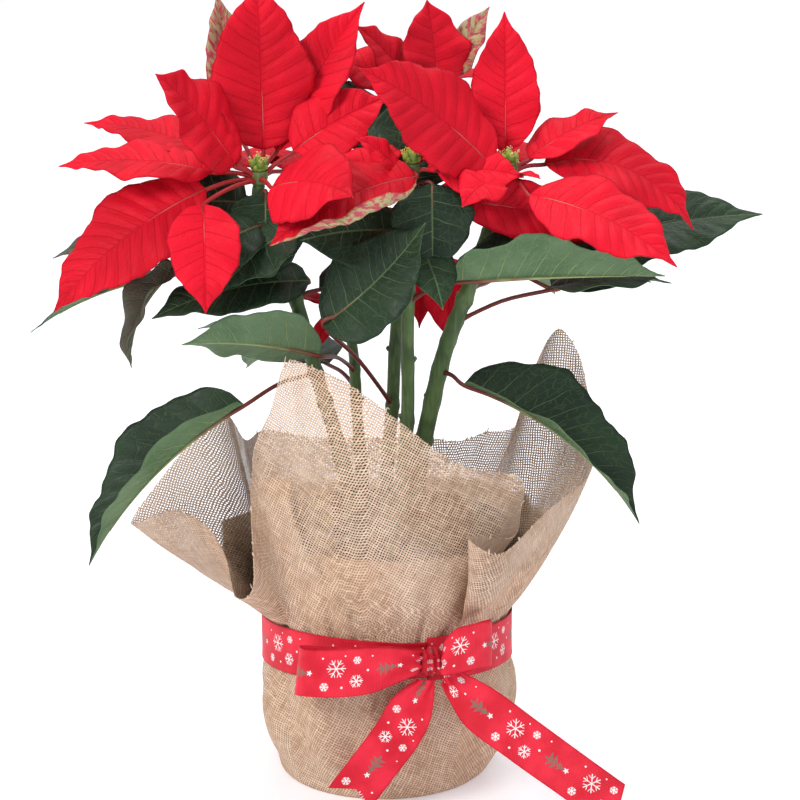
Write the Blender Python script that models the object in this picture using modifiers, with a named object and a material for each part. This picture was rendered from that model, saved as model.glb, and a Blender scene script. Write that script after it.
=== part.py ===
"""Poinsettia in a nursery pot, gathered in a square of hessian and tied with a red ribbon."""
import math

import bmesh
import bpy
from mathutils import Vector

# Lengths are in millimetres and angles in degrees until a mesh is written in metres
MM = 0.001
TOUCH = 0.3
UP = Vector((0, 0, 1))

# Pot and soil
POT_FOOT_RADIUS = 46.5
POT_TOP_RADIUS = 62.5
POT_RIM_RADIUS = 66
POT_RIM_DROP = 12
POT_BASE_Z = 1.5
POT_TOP_Z = 134
POT_WALL = 1.6
SOIL_TOP_Z = 122
HOLE_DEPTH = 24

# Hessian wrap
CLOTH = 1.2
CLOTH_FOOT_RADIUS = 55
CLOTH_FOOT_SPREAD = 4
CLOTH_BULGE_RADIUS = 71.5
CLOTH_WAIST_RADIUS = 66.4
CLOTH_WAIST_REACH = 13.5
FOLD_COUNT = 11
FOLD_DEPTH = 0.9

# Ribbon
RIBBON_WIDTH = 25
RIBBON = 0.8
BAND_Z = 74
BAND_RISE = 7
BAND_SIDES = 40
BAND_RADIUS = (CLOTH_WAIST_RADIUS + TOUCH) / math.cos(math.pi / BAND_SIDES) + RIBBON / 2
KNOT_ANGLE = 288
KNOT_SIZE = (11, 11, 15)
RIBBON_NOTCH = 7

# Blades and stalks
BLADE = 0.8
BLADE_TIP = 0.5
STALK_RADIUS = 1.3
RECEPTACLE_RADIUS = 4.6
RECEPTACLE_HEIGHT = 7
BERRY_RADIUS = 2.6
CUPS = 4

GREEN = (0.040, 0.090, 0.035)
RED = (0.620, 0.012, 0.030)
YELLOW_GREEN = (0.420, 0.470, 0.080)
HESSIAN = (0.560, 0.400, 0.255)
RIBBON_RED = (0.680, 0.010, 0.030)
POT_BROWN = (0.060, 0.035, 0.025)
SOIL_BROWN = (0.028, 0.018, 0.012)

# Each rib of the cloth above the ribbon: angle at the ribbon, then angle, radius and height at the
# cloth's edge, and how far the rib bows outward on its way
CLOTH_RIBS = [
    (6, 6, 112, 183, 3), (20, 21, 116, 200, 3), (29, 28, 118, 215, 2), (37, 34, 113, 226, 0),
    (45, 41, 109, 204, -2), (52, 47, 107, 168, -2), (60, 56, 98, 162, -1), (70, 64, 89, 157, 1),
    (82, 76, 81, 160, 1), (100, 97, 77, 160, 1), (122, 122, 80, 163, 2), (140, 143, 84, 172, 2),
    (153, 158, 83, 172, -1), (166, 175, 86, 193, -1), (175, 183, 99, 187, 1), (182, 186, 119, 165, 2),
    (188, 190, 137, 142, 3), (196, 203, 121, 157, 3), (203, 210, 108, 151, 2), (208, 212, 99, 135, 1),
    (213, 216, 97, 113, 0), (219, 224, 95, 122, 0), (224, 221, 91, 161, -1), (229, 221, 90, 193, -1),
    (233, 226, 85, 214, 0), (238, 231, 81, 240, 1), (246, 242, 80, 240, 2), (256, 256, 77, 232, 2),
    (269, 274, 76, 214, 2), (281, 293, 78, 193, 1), (288, 306, 81, 184, 0), (294, 320, 87, 177, -1),
    (299, 310, 90, 166, -2), (303, 297, 91, 156, 1), (307, 302, 102, 150, 3), (313, 308, 105, 147, 4),
    (323, 322, 102, 159, 4), (336, 337, 105, 166, 4), (348, 349, 109, 169, 4), (357, 358, 110, 176, 4),
]

# The bow: each row is a point on the ribbon's middle line, then the vector from edge to edge
RIBBON_LOOPS = {
    "loop_left": [
        ((17.5, -74.0, 83), (0, 0, 11)), ((2, -75, 81), (0, 0, 22)), ((-14, -73, 78), (0, 0, 25)),
        ((-32, -69, 77), (0, 0, 25)), ((-43, -67, 77), (1, 0, 25)), ((-46, -71, 77.5), (3, 2, 25)),
        ((-42, -78, 78.5), (3, 4, 24)), ((-26, -83, 80), (1, 6, 24)), ((-8, -84, 82), (0, 5, 23)),
        ((7, -81, 84), (0, 2, 17)),
    ],
    "loop_right": [
        ((30.9, -72.1, 84.5), (0, 0, 12)), ((39, -69.5, 87), (0, 0, 23)), ((48, -67, 90), (0, 0, 25)),
        ((54, -68.5, 92), (0, 0, 25)), ((53, -74, 93), (0, 0, 25)), ((45, -80, 93.5), (0, 0, 25)),
        ((35, -83.5, 92), (1, 2, 24)), ((29, -82, 88), (2, 3, 17)),
    ],
}
RIBBON_TAILS = {
    "tail_left": [
        ((20, -76, 73.9), (10, 2, -1)), ((13, -80, 60), (20, 0, -11)), ((6, -80, 46), (21, 0, -13)),
        ((-5, -80, 30), (21, 0, -13)), ((-20, -82, 10), (21, 0, -13)),
    ],
    "tail_right": [
        ((30.2, -74.2, 76), (3, 1, 10)), ((47, -82, 62), (14, 4, 19)), ((70, -91, 47), (14, 4, 20)),
        ((97, -101, 30), (14, 5, 19)), ((123, -111, 14), (15, 8, 17)),
    ],
}


class Blade:
    """A leaf or bract: its stalk's direction and length, then the blade's own line and section."""

    def __init__(self, name, stalk, heading, rise, length, width, droop=20, roll=0, fold=8,
                 curl=0.1, wave=1.0):
        self.name = name
        self.stalk = stalk
        self.heading = heading
        self.rise = rise
        self.length = length
        self.width = width
        self.droop = droop
        self.roll = roll
        self.fold = fold
        self.curl = curl
        self.wave = wave


def direction(heading, rise):
    flat = math.cos(math.radians(rise))
    return Vector((
        flat * math.cos(math.radians(heading)),
        flat * math.sin(math.radians(heading)),
        math.sin(math.radians(rise)),
    ))


def stalk_end(blade, root):
    length, heading, rise = blade.stalk
    return root + direction(heading, rise) * length


def midrib(blade, start, stations, substeps=6):
    """Point, tangent, side and face normal of the blade's line at each station."""
    frames = []
    point = start.copy()
    at = 0.0
    for station in stations:
        step = (station - at) / substeps
        for _ in range(substeps if step else 0):
            middle = at + step / 2
            turn = direction(blade.heading, blade.rise - blade.droop * middle)
            point = point + turn * blade.length * step
            at += step
        tangent = direction(blade.heading, blade.rise - blade.droop * station)
        side = direction(blade.heading - 90, 0)
        face = side.cross(tangent)
        roll = math.radians(blade.roll)
        frames.append((
            point.copy(),
            tangent,
            side * math.cos(roll) + face * math.sin(roll),
            face * math.cos(roll) - side * math.sin(roll),
        ))
    return frames


def half_width(blade, station):
    """Egg-shaped outline, widest at 0.38 of its length, drawn out to a point."""
    base, tip = 0.64, 1.05
    widest = base / (base + tip)
    peak = widest ** base * (1 - widest) ** tip
    return blade.width / 2 * station ** base * (1 - station) ** tip / peak + BLADE_TIP


def blade_point(blade, frame, station, across):
    point, _, side, face = frame
    width = half_width(blade, station)
    fold = math.radians(blade.fold)
    reach = abs(across)
    ripple = math.sin(math.tau * 2.4 * station + (1.1 if across > 0 else 2.9))
    lift = reach * width * math.sin(fold) - blade.curl * width * across ** 2
    lift += blade.wave * ripple * reach ** 1.5 * min(1, width / 8)
    return point + side * across * width * math.cos(fold) + face * lift


def mesh_object(name, points, faces, group):
    mesh = bpy.data.meshes.new(name)
    mesh.from_pydata([p * MM for p in points], [], faces)
    mesh.update()
    made = bpy.data.objects.new(name, mesh)
    group.objects.link(made)
    return made


def thicken(made, thickness, offset=0.0):
    solid = made.modifiers.new("Thickness", "SOLIDIFY")
    solid.thickness = thickness * MM
    solid.offset = offset
    return solid


def blade_object(blade, root, group):
    """The thin blade alone, split in triangles, from the end of its stalk."""
    stations = (0, 0.08, 0.22, 0.38, 0.54, 0.70, 0.86, 1)
    across = (-1, 0, 1)
    if blade.width < 30:
        stations = (0, 0.16, 0.42, 0.72, 1)
    frames = midrib(blade, stalk_end(blade, root), stations)
    points = [blade_point(blade, f, s, v) for f, s in zip(frames, stations) for v in across]
    columns = len(across)
    faces = []
    for row in range(len(stations) - 1):
        for column in range(columns - 1):
            a = row * columns + column
            b, c, d = a + 1, a + columns + 1, a + columns
            outer = column < columns // 2
            faces += [(a, b, c), (a, c, d)] if outer else [(a, b, d), (b, c, d)]
    made = mesh_object(blade.name, points, faces, group)
    thicken(made, BLADE)
    return made


def tube(name, points, radii, group, resolution=1):
    """A closed mesh tube with filled caps along hand-placed points."""
    line = bpy.data.curves.new(name, "CURVE")
    line.dimensions = "3D"
    line.bevel_depth = MM
    line.bevel_resolution = resolution
    line.use_fill_caps = True
    spline = line.splines.new("POLY")
    spline.points.add(len(points) - 1)
    for knot, point, radius in zip(spline.points, points, radii):
        knot.co = (*(point * MM), 1)
        knot.radius = radius
    drawn = bpy.data.objects.new(name, line)
    group.objects.link(drawn)
    depsgraph = bpy.context.evaluated_depsgraph_get()
    mesh = bpy.data.meshes.new_from_object(drawn.evaluated_get(depsgraph))
    weld(mesh)
    made = bpy.data.objects.new(name, mesh)
    made.matrix_world = drawn.matrix_world
    group.objects.link(made)
    bpy.data.objects.remove(drawn)
    made.name = name
    return made


def weld(mesh):
    shape = bmesh.new()
    shape.from_mesh(mesh)
    bmesh.ops.remove_doubles(shape, verts=shape.verts, dist=0.00001)
    bmesh.ops.recalc_face_normals(shape, faces=shape.faces)
    shape.to_mesh(mesh)
    shape.free()


def stalk_object(blade, root, group):
    """The stalk from its root to the blade, running on a little under the blade's midrib."""
    stations = (0, 0.1)
    frames = midrib(blade, stalk_end(blade, root), stations)
    points = [root] + [frame[0] for frame in frames]
    return tube(blade.name + "_stalk", points, (STALK_RADIUS,) * 2 + (0.8,), group)


def fuse(base, repeats):
    """One union of the base and every object of the collection, applied."""
    union = base.modifiers.new("Fused", "BOOLEAN")
    union.operation = "UNION"
    union.operand_type = "COLLECTION"
    union.collection = repeats
    union.solver = "EXACT"
    depsgraph = bpy.context.evaluated_depsgraph_get()
    mesh = bpy.data.meshes.new_from_object(base.evaluated_get(depsgraph))
    base.modifiers.clear()
    base.data = mesh
    for piece in list(repeats.objects):
        bpy.data.objects.remove(piece)
    bpy.data.collections.remove(repeats)
    return base


def paint(made, name, colour, roughness):
    material = bpy.data.materials.get(name) or bpy.data.materials.new(name)
    material.use_nodes = True
    shader = material.node_tree.nodes["Principled BSDF"]
    shader.inputs["Base Color"].default_value = (*colour, 1)
    shader.inputs["Roughness"].default_value = roughness
    shader.inputs["Metallic"].default_value = 0.0
    material.diffuse_color = (*colour, 1)
    made.data.materials.clear()
    made.data.materials.append(material)


def turned(name, profile, group, sides):
    """A closed turned solid from a profile that runs down its outer side and back up inside."""
    mesh = bpy.data.meshes.new(name)
    points = [(radius * MM, 0, z * MM) for radius, z in profile]
    last = len(points) - 1
    edges = [(i, i + 1) for i in range(last) if profile[i][0] + profile[i + 1][0] > 0]
    if profile[0][0] > 0:
        edges.append((last, 0))
    mesh.from_pydata(points, edges, [])
    made = bpy.data.objects.new(name, mesh)
    group.objects.link(made)
    screw = made.modifiers.new("Turned", "SCREW")
    screw.steps = sides
    screw.render_steps = sides
    screw.use_merge_vertices = True
    screw.merge_threshold = 0.00001
    screw.use_smooth_shade = False
    return made


# Stems: each line is hand-placed from its hole in the soil to its bloom
STEMS = {
    "left": [(-15, -3, 98), (-15, -3, 124), (-19, -5, 150), (-27, -7, 185), (-37, -12, 221),
             (-45, -16, 254), (-56, -21, 292), (-65, -25, 317), (-65, -25, 324)],
    "low_left": [(-12, 13, 98), (-12, 13, 124), (-13, 14, 152), (-16, 18, 190), (-18, 22, 224),
                 (-22, 25, 238), (-22, 25, 244)],
    "back": [(1, 12, 98), (1, 12, 124), (0, 12, 160), (3, 15, 196), (5, 21, 236), (11, 32, 290),
             (20, 45, 349), (20, 45, 356)],
    "centre": [(3, -9, 98), (3, -9, 124), (8, -11, 160), (11, -14, 200), (11, -20, 247),
               (12, -28, 296), (13, -35, 323), (13, -35, 330)],
    "right": [(15, 1, 98), (15, 1, 124), (16, -2, 160), (23, -9, 200), (31, -13, 235),
              (43, -15, 268), (53, -17, 298), (63, -20, 319), (63, -20, 326)],
}
SIDE_SHOOTS = {
    "back": [(6, 23, 245), (18, 34, 256), (29, 38, 264), (30, 38, 270), (30, 38, 275.7)],
}
SHOOT_RADIUS = 2.2
STEM_RADII = {"left": (4.6, 3.1), "low_left": (3.6, 2.6), "back": (3.8, 2.8), "centre": (3.9, 3.0),
              "right": (5.2, 3.4)}

# Leaves of each stem: height of the root on the stem, then the blade
LEAVES = {
    "left": [
        (221, Blade("lower_left", (56, 230, -5), 196, -27, 116, 52, 34, 8, 48, 0.0, 1.5)),
        (283, Blade("long_dark", (22, 312, -18), 192, 4, 84, 44, 30, 24, 10, 0.1, 1.5)),
        (299, Blade("under_heart", (20, 306, 16), 206, -21, 50, 38, 30, 26, 10, 0.1, 1.5)),
        (283, Blade("far_left", (41, 158, -12), 171, -3, 108, 42, 35, -6, 12, 0.1, 2.0)),
        (290, Blade("withered", (52, 188, -8), 191, -34, 62, 28, 60, 20, 40, 0.2, 3.0)),
        (303, Blade("inner_dark", (14, 250, 10), 216, -8, 48, 36, 35, 30, 10, 0.1, 1.5)),
        (303, Blade("black_tip", (32, 166, -3), 167, -2, 90, 46, 25, 8, 12, 0.1, 1.5)),
        (235, Blade("grey_under", (21, 142, 12), 163, 12, 46, 28, 25, -20, 10, 0.1, 1.0)),
        (312, Blade("small_dark", (16, 140, 20), 152, 10, 34, 20, 20, 20, 8, 0.1, 1.0)),
        (262, Blade("inner_right", (14, 20, 20), 24, 6, 58, 36, 30, -34, 12, 0.1, 1.5)),
        (296, Blade("behind_left", (24, 110, 8), 112, 6, 88, 46, 38, 4, 14, 0.1, 2.0)),
    ],
    "low_left": [
        (214, Blade("pale_under", (58, 252, 22), 195, 18, 74, 46, 20, -48, 16, 0.0, 1.5)),
        (205, Blade("behind_low", (30, 120, 12), 124, 6, 92, 48, 40, 4, 14, 0.1, 2.0)),
    ],
    "back": [
        (196, Blade("big_front", (93, 240, 40), 346, 36, 78, 50, -20, -64, 10, 0.1, 1.0)),
        (349, Blade("shade_left", (24, 222, -10), 208, 20, 50, 44, 20, 46, 10, 0.1, 1.5)),
        (280, Blade("behind_back", (26, 80, 8), 84, 4, 96, 50, 42, 0, 14, 0.1, 2.0)),
        (296, Blade("behind_high", (24, 152, 4), 152, -8, 80, 44, 34, 0, 14, 0.1, 2.0)),
    ],
    "centre": [
        (262, Blade("pale_right", (28, 330, 29), 356, 5, 110, 60, 5, 0, 56, 0.0, 1.5)),
        (290, Blade("inner_right", (16, 292, 30), 293, -30, 42, 27, 30, 0, 10, 0.1, 1.0)),
    ],
    "right": [
        (222, Blade("lower_right", (22, 304, -5), 348, -16, 119, 56, 42, -18, 40, 0.0, 1.5)),
        (298, Blade("far_right", (47, 33, -20), 7, 18, 111, 50, 18, -36, 10, 0.1, 1.5)),
        (249, Blade("curled_right", (52, 353, 22), 356, 16, 64, 38, 25, -6, 12, 0.1, 2.0)),
        (281, Blade("dark_right", (42, 9, -20), 25, 12, 60, 36, 30, -10, 10, 0.1, 1.5)),
        (262, Blade("behind_right", (28, 66, 6), 62, 4, 92, 48, 40, 0, 14, 0.1, 2.0)),
    ],
}

# Blooms: seat of the receptacle, then its bracts
BLOOM_SEATS = {
    "left": (-65, -25, 324.3),
    "centre": (13, -35, 330.3),
    "right": (63, -20, 326.3),
    "back": (20, 45, 356.3),
    "low_left": (-22, 25, 244.3),
    "low_back": (30, 38, 276),
}
BRACTS = {
    "left": [
        Blade("heart", (16, 210, 32), 203, 60, 65, 58, 20, 42, 8, 0.1, 2.0),
        Blade("sliver", (14, 190, 34), 157, 80, 28, 12, 10, 20, 8, 0.1, 0.5),
        Blade("far_left", (25, 197, 13), 179, 14, 79, 44, 25, 15, 8, 0.1, 1.5),
        Blade("behind_left", (23, 143, 20), 159, 22, 83, 40, 25, 12, 8, 0.1, 1.5),
        Blade("big_low", (31, 212, -3), 194, -22, 100, 50, 30, 42, 6, 0.1, 2.0),
        Blade("hanging", (41, 229, -9), 274, -56, 56, 38, 20, 0, 16, 0.1, 2.0),
        Blade("heart_right", (22, 289, 0), 322, 23, 54, 52, 42, -40, 6, 0.2, 2.0),
        Blade("tall", (21, 84, 34), 101, 83, 88, 54, 12, 0, 10, 0.1, 2.0),
        Blade("right", (23, 25, 34), 19, 36, 58, 38, 20, -48, 8, 0.1, 1.5),
        Blade("curled", (26, 70, 24), 28, 60, 90, 42, 10, -42, 26, 0.1, 2.0),
        Blade("green_pink", (40, 112, 30), 118, 76, 72, 28, 8, -6, 10, 0.1, 1.0),
        Blade("rear", (22, 100, 5), 104, 10, 84, 46, 42, 0, 10, 0.1, 2.0),
        Blade("rear_right", (22, 58, 4), 60, 12, 66, 38, 42, 0, 10, 0.1, 1.5),
    ],
    "centre": [
        Blade("upright", (10, 216, 20), 198, 49, 27, 16, 25, 46, 12, 0.1, 1.0),
        Blade("inner", (12, 163, 5), 177, 12, 32, 20, 15, 34, 10, 0.1, 1.0),
        Blade("shaded", (22, 84, 10), 34, -16, 32, 22, 30, -40, 10, 0.1, 1.5),
        Blade("folded", (12, 280, 0), 199, -5, 84, 54, 33, 28, 6, 0.2, 2.0),
        Blade("tiny_right", (8, 350, 12), 345, 26, 15, 10, 10, -30, 10, 0.1, 0.5),
        Blade("tiny_rear", (10, 60, 25), 42, 34, 20, 14, 10, -40, 10, 0.1, 0.5),
        Blade("rear", (12, 130, 20), 136, 26, 28, 20, 20, 10, 10, 0.1, 1.0),
    ],
    "right": [
        Blade("wide_left", (14, 220, 26), 200, 47, 89, 54, 20, 58, 6, 0.1, 2.0),
        Blade("tall", (16, 97, 33), 92, 82, 72, 36, 10, 0, 10, 0.1, 2.0),
        Blade("upper_right", (14, 37, 26), 18, 36, 54, 32, 25, -16, 8, 0.1, 1.5),
        Blade("far_right", (22, 33, 8), 357, 15, 92, 46, 78, -30, 8, 0.1, 2.0),
        Blade("big_low", (26, 292, -14), 340, -5, 85, 51, 34, -26, 8, 0.1, 2.0),
        Blade("ridged", (15, 250, 0), 232, 4, 34, 26, 40, 24, 12, 0.1, 2.0),
        Blade("under_left", (14, 200, -18), 198, -22, 36, 26, 30, 30, 10, 0.1, 1.5),
        Blade("under_right", (32, 204, -22), 355, -2, 88, 30, 22, -70, 10, 0.1, 1.5),
        Blade("tiny", (9, 300, 10), 316, 12, 15, 9, 30, 0, 10, 0.1, 0.5),
        Blade("rear", (22, 72, 5), 66, 10, 84, 46, 42, 0, 10, 0.1, 2.0),
    ],
    "back": [
        Blade("top", (10, 330, 30), 118, 78, 46, 40, 10, 0, 10, 0.1, 2.0),
        Blade("top_left", (11, 223, 30), 200, 57, 46, 28, 20, 46, 10, 0.1, 1.5),
        Blade("green_pink", (14, 33, 26), 24, 60, 46, 20, 10, -40, 8, 0.1, 1.0),
        Blade("dark_left", (14, 184, 22), 190, 30, 42, 30, 20, 40, 8, 0.1, 1.5),
        Blade("rear_right", (18, 60, 8), 58, 12, 80, 44, 45, 0, 10, 0.1, 2.0),
        Blade("rear_left", (18, 118, 8), 122, 14, 80, 44, 45, 0, 10, 0.1, 2.0),
    ],
    "low_left": [
        Blade("low", (10, 235, 0), 236, -30, 26, 12, 30, 0, 10, 0.1, 0.5),
        Blade("side", (10, 150, 10), 150, 10, 30, 18, 30, 0, 10, 0.1, 0.5),
        Blade("rear", (10, 60, 10), 60, 10, 30, 18, 30, 0, 10, 0.1, 0.5),
    ],
    "low_back": [
        Blade("hanging", (11, 281, -20), 272, -55, 46, 28, 20, 0, 10, 0.1, 1.0),
        Blade("narrow", (11, 215, -20), 250, -62, 40, 14, 20, 0, 10, 0.1, 0.5),
        Blade("rear", (12, 100, 0), 104, -10, 44, 28, 40, 0, 10, 0.1, 1.5),
    ],
}


def pot(group):
    profile = [
        (POT_RIM_RADIUS, POT_TOP_Z),
        (POT_RIM_RADIUS, POT_TOP_Z - POT_RIM_DROP),
        (POT_TOP_RADIUS, POT_TOP_Z - POT_RIM_DROP),
        (POT_FOOT_RADIUS, POT_BASE_Z),
        (0, POT_BASE_Z),
        (0, POT_BASE_Z + 2),
        (POT_FOOT_RADIUS - POT_WALL, POT_BASE_Z + 2),
        (POT_TOP_RADIUS - POT_WALL, POT_TOP_Z - POT_RIM_DROP + 2),
        (POT_TOP_RADIUS - POT_WALL, POT_TOP_Z),
    ]
    made = turned("pot", profile, group, 32)
    paint(made, "pot_plastic", POT_BROWN, 0.5)


def soil(group, cutters):
    slope = (POT_TOP_RADIUS - POT_FOOT_RADIUS) / (POT_TOP_Z - POT_RIM_DROP - POT_BASE_Z)
    inner = POT_FOOT_RADIUS - POT_WALL - TOUCH
    low = POT_BASE_Z + 2 + TOUCH
    high = inner + slope * (SOIL_TOP_Z - low)
    made = turned("soil", [(0, SOIL_TOP_Z), (high, SOIL_TOP_Z), (inner, low), (0, low)], group, 24)
    for name, line in STEMS.items():
        radius = STEM_RADII[name][0] + TOUCH
        foot = Vector(line[0])
        ends = [foot - UP * TOUCH, foot + UP * (HOLE_DEPTH + 8)]
        drill = tube("hole_" + name, ends, (radius, radius), cutters, 2)
        drill.display_type = "WIRE"
        drill.hide_render = True
        cut = made.modifiers.new("Hole " + name, "BOOLEAN")
        cut.object = drill
        cut.solver = "EXACT"
    paint(made, "soil", SOIL_BROWN, 1.0)


def catmull(before, start, end, after, t):
    return (
        start * 2
        + (end - before) * t
        + (before * 2 - start * 5 + end * 4 - after) * t ** 2
        + (start * 3 - before - end * 3 + after) * t ** 3
    ) / 2


def polar(angle, radius, z):
    turn = math.radians(angle)
    return Vector((radius * math.cos(turn), radius * math.sin(turn), z))


def band_z(angle):
    """Middle of the ribbon's band, pulled up in front where it is tied."""
    return BAND_Z + BAND_RISE * math.cos(math.radians(angle - KNOT_ANGLE + 12))


def cloth_rib(rib, level):
    """Point on one rib: 0 at the top of the ribbon, 1 at the cloth's edge."""
    foot_angle, edge_angle, edge_radius, edge_z, bow = rib
    foot = polar(foot_angle, CLOTH_WAIST_RADIUS, band_z(foot_angle) + CLOTH_WAIST_REACH)
    edge = polar(edge_angle, edge_radius, edge_z)
    middle = (foot_angle + edge_angle) / 2
    return foot.lerp(edge, level) + polar(middle, bow * math.sin(math.pi * level), 0)


def cloth_ring(level, between):
    """Smooth closed line through every rib at one level."""
    knots = [cloth_rib(rib, level) for rib in CLOTH_RIBS]
    count = len(knots)
    ring = []
    for i in range(count):
        quad = [knots[(i + shift) % count] for shift in (-1, 0, 1, 2)]
        ring += [catmull(*quad, step / between) for step in range(between)]
    return ring


def cloth_skirt(angle, level):
    """The gathered cloth under the ribbon, with shallow upright folds: 0 at the foot, 1 at the ribbon."""
    foot = CLOTH_FOOT_RADIUS + CLOTH_FOOT_SPREAD * math.cos(math.radians(angle - 240))
    waist_z = band_z(angle) - CLOTH_WAIST_REACH
    bulge = CLOTH_BULGE_RADIUS - CLOTH_WAIST_RADIUS
    radius = foot + (CLOTH_WAIST_RADIUS - foot) * level ** 0.5 + bulge * math.sin(math.pi * level ** 1.3)
    fold = math.sin(math.radians(FOLD_COUNT * angle)) + 0.6 * math.sin(math.radians(5 * angle + 40))
    return polar(angle, radius + FOLD_DEPTH * math.sin(math.pi * level) * fold, waist_z * level)


def hessian_wrap(group):
    angles = [rib[0] for rib in CLOTH_RIBS]
    rings = [[cloth_skirt(angle, 0) * share for angle in angles] for share in (0.45, 0.93)]
    rings += [[cloth_skirt(angle, level) for angle in angles] for level in (0.03, 0.2, 0.5, 0.8, 1)]
    rings += [cloth_ring(level, 1) for level in (0, 0.28, 0.55, 0.8, 1)]
    points = [Vector((0, 0, 0))] + [point for ring in rings for point in ring]
    count = len(angles)
    faces = [(0, 1 + i, 1 + (i + 1) % count) for i in range(count)]
    for row in range(len(rings) - 1):
        for i in range(count):
            a = 1 + row * count + i
            b = 1 + row * count + (i + 1) % count
            faces += [(a, a + count, b), (b, a + count, b + count)]
    made = mesh_object("hessian_wrap", points, faces, group)
    weld(made.data)
    thicken(made, CLOTH, -1.0)
    paint(made, "hessian", HESSIAN, 0.95)


def ribbon_solid(name, rows, group, closed=False, notch=0.0):
    """A ribbon from rows of a centre point and an edge-to-edge vector, notched at its far end."""
    points = []
    for centre, across in rows:
        points += [centre - across / 2, centre.copy(), centre + across / 2]
    if notch:
        points[-2] += (rows[-2][0] - rows[-1][0]).normalized() * notch
    count = len(rows)
    faces = []
    for i in range(count if closed else count - 1):
        a, b = 3 * i, 3 * ((i + 1) % count)
        for step in (0, 1):
            faces += [(a + step, b + step, a + step + 1), (a + step + 1, b + step, b + step + 1)]
    made = mesh_object(name, points, faces, group)
    thicken(made, RIBBON)
    paint(made, "ribbon", RIBBON_RED, 0.45)
    return made


def ribbon_band(group):
    rows = []
    for i in range(BAND_SIDES):
        angle = 360 * i / BAND_SIDES
        rows.append((polar(angle, BAND_RADIUS, band_z(angle)), UP * RIBBON_WIDTH))
    ribbon_solid("ribbon_band", rows, group, closed=True)


def smooth_rows(rows, between, closed):
    """More rows on a smooth line through the hand-placed ones."""
    knots = [(Vector(centre), Vector(across)) for centre, across in rows]
    count = len(knots)
    made = []
    for i in range(count if closed else count - 1):
        picks = [(i + shift) % count if closed else min(max(i + shift, 0), count - 1)
                 for shift in (-1, 0, 1, 2)]
        for step in range(between):
            t = step / between
            made.append(tuple(catmull(*(knots[pick][part] for pick in picks), t) for part in (0, 1)))
    if not closed:
        made.append(knots[-1])
    return made


def ribbon_knot(group):
    angle = math.radians(KNOT_ANGLE)
    width, depth, height = KNOT_SIZE
    reach = BAND_RADIUS + RIBBON / 2 + TOUCH + depth / 2
    bpy.ops.mesh.primitive_cube_add(size=1)
    made = bpy.context.object
    made.name = "ribbon_knot"
    made.data.name = "ribbon_knot"
    made.dimensions = (depth * MM, width * MM, height * MM)
    made.location = polar(KNOT_ANGLE, reach, band_z(KNOT_ANGLE) + 1) * MM
    made.rotation_euler.z = angle
    rounding = made.modifiers.new("Rounding", "BEVEL")
    rounding.width = 2.6 * MM
    rounding.segments = 2
    for home in list(made.users_collection):
        home.objects.unlink(made)
    group.objects.link(made)
    paint(made, "ribbon", RIBBON_RED, 0.45)


def ribbon_bow(group):
    for name, rows in RIBBON_LOOPS.items():
        ribbon_solid("ribbon_" + name, smooth_rows(rows, 2, True), group, closed=True)
    for name, rows in RIBBON_TAILS.items():
        ribbon_solid("ribbon_" + name, smooth_rows(rows, 2, False), group, notch=RIBBON_NOTCH)


def on_stem(name, height):
    """Point of a stem's axis at a height."""
    line = [Vector(p) for p in STEMS[name]]
    for low, high in zip(line, line[1:]):
        if height <= high.z:
            return low.lerp(high, (height - low.z) / (high.z - low.z))
    return line[-1].copy()


def leafy_stem(name, group):
    line = [Vector(p) for p in STEMS[name]]
    thick, thin = STEM_RADII[name]
    last = len(line) - 1
    radii = [thick + (thin - thick) * max(0, i - 1) / (last - 1) for i in range(last + 1)]
    made = tube("stem_" + name, line, radii, group, 2)
    repeats = bpy.data.collections.new("leaves_" + name)
    bpy.context.scene.collection.children.link(repeats)
    for height, leaf in LEAVES[name]:
        root = on_stem(name, height)
        blade_object(leaf, root, repeats)
        stalk_object(leaf, root, repeats)
    if name in SIDE_SHOOTS:
        shoot = [Vector(p) for p in SIDE_SHOOTS[name]]
        tube("shoot_" + name, shoot, [SHOOT_RADIUS] * len(shoot), repeats)
    fuse(made, repeats)
    paint(made, "leaf_green", GREEN, 0.55)


def cone(name, low_radius, high_radius, height, base, group, sides=10):
    shape = bmesh.new()
    bmesh.ops.create_cone(
        shape, cap_ends=True, segments=sides,
        radius1=low_radius * MM, radius2=high_radius * MM, depth=height * MM,
    )
    bmesh.ops.translate(shape, verts=shape.verts, vec=(base + UP * height / 2) * MM)
    mesh = bpy.data.meshes.new(name)
    shape.to_mesh(mesh)
    shape.free()
    made = bpy.data.objects.new(name, mesh)
    group.objects.link(made)
    return made


def bloom(name, group):
    seat = Vector(BLOOM_SEATS[name])
    made = cone("bloom_" + name, RECEPTACLE_RADIUS - 1, RECEPTACLE_RADIUS, RECEPTACLE_HEIGHT, seat, group)
    root = seat + UP * RECEPTACLE_HEIGHT * 0.4
    repeats = bpy.data.collections.new("bracts_" + name)
    bpy.context.scene.collection.children.link(repeats)
    for bract in BRACTS[name]:
        blade_object(bract, root, repeats)
        stalk_object(bract, root, repeats)
    fuse(made, repeats)
    paint(made, "bract_red", RED, 0.5)


def berry(name, centre, radius, group):
    shape = bmesh.new()
    bmesh.ops.create_uvsphere(shape, u_segments=6, v_segments=4, radius=radius * MM)
    bmesh.ops.translate(shape, verts=shape.verts, vec=centre * MM)
    mesh = bpy.data.meshes.new(name)
    shape.to_mesh(mesh)
    shape.free()
    made = bpy.data.objects.new(name, mesh)
    group.objects.link(made)


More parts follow.
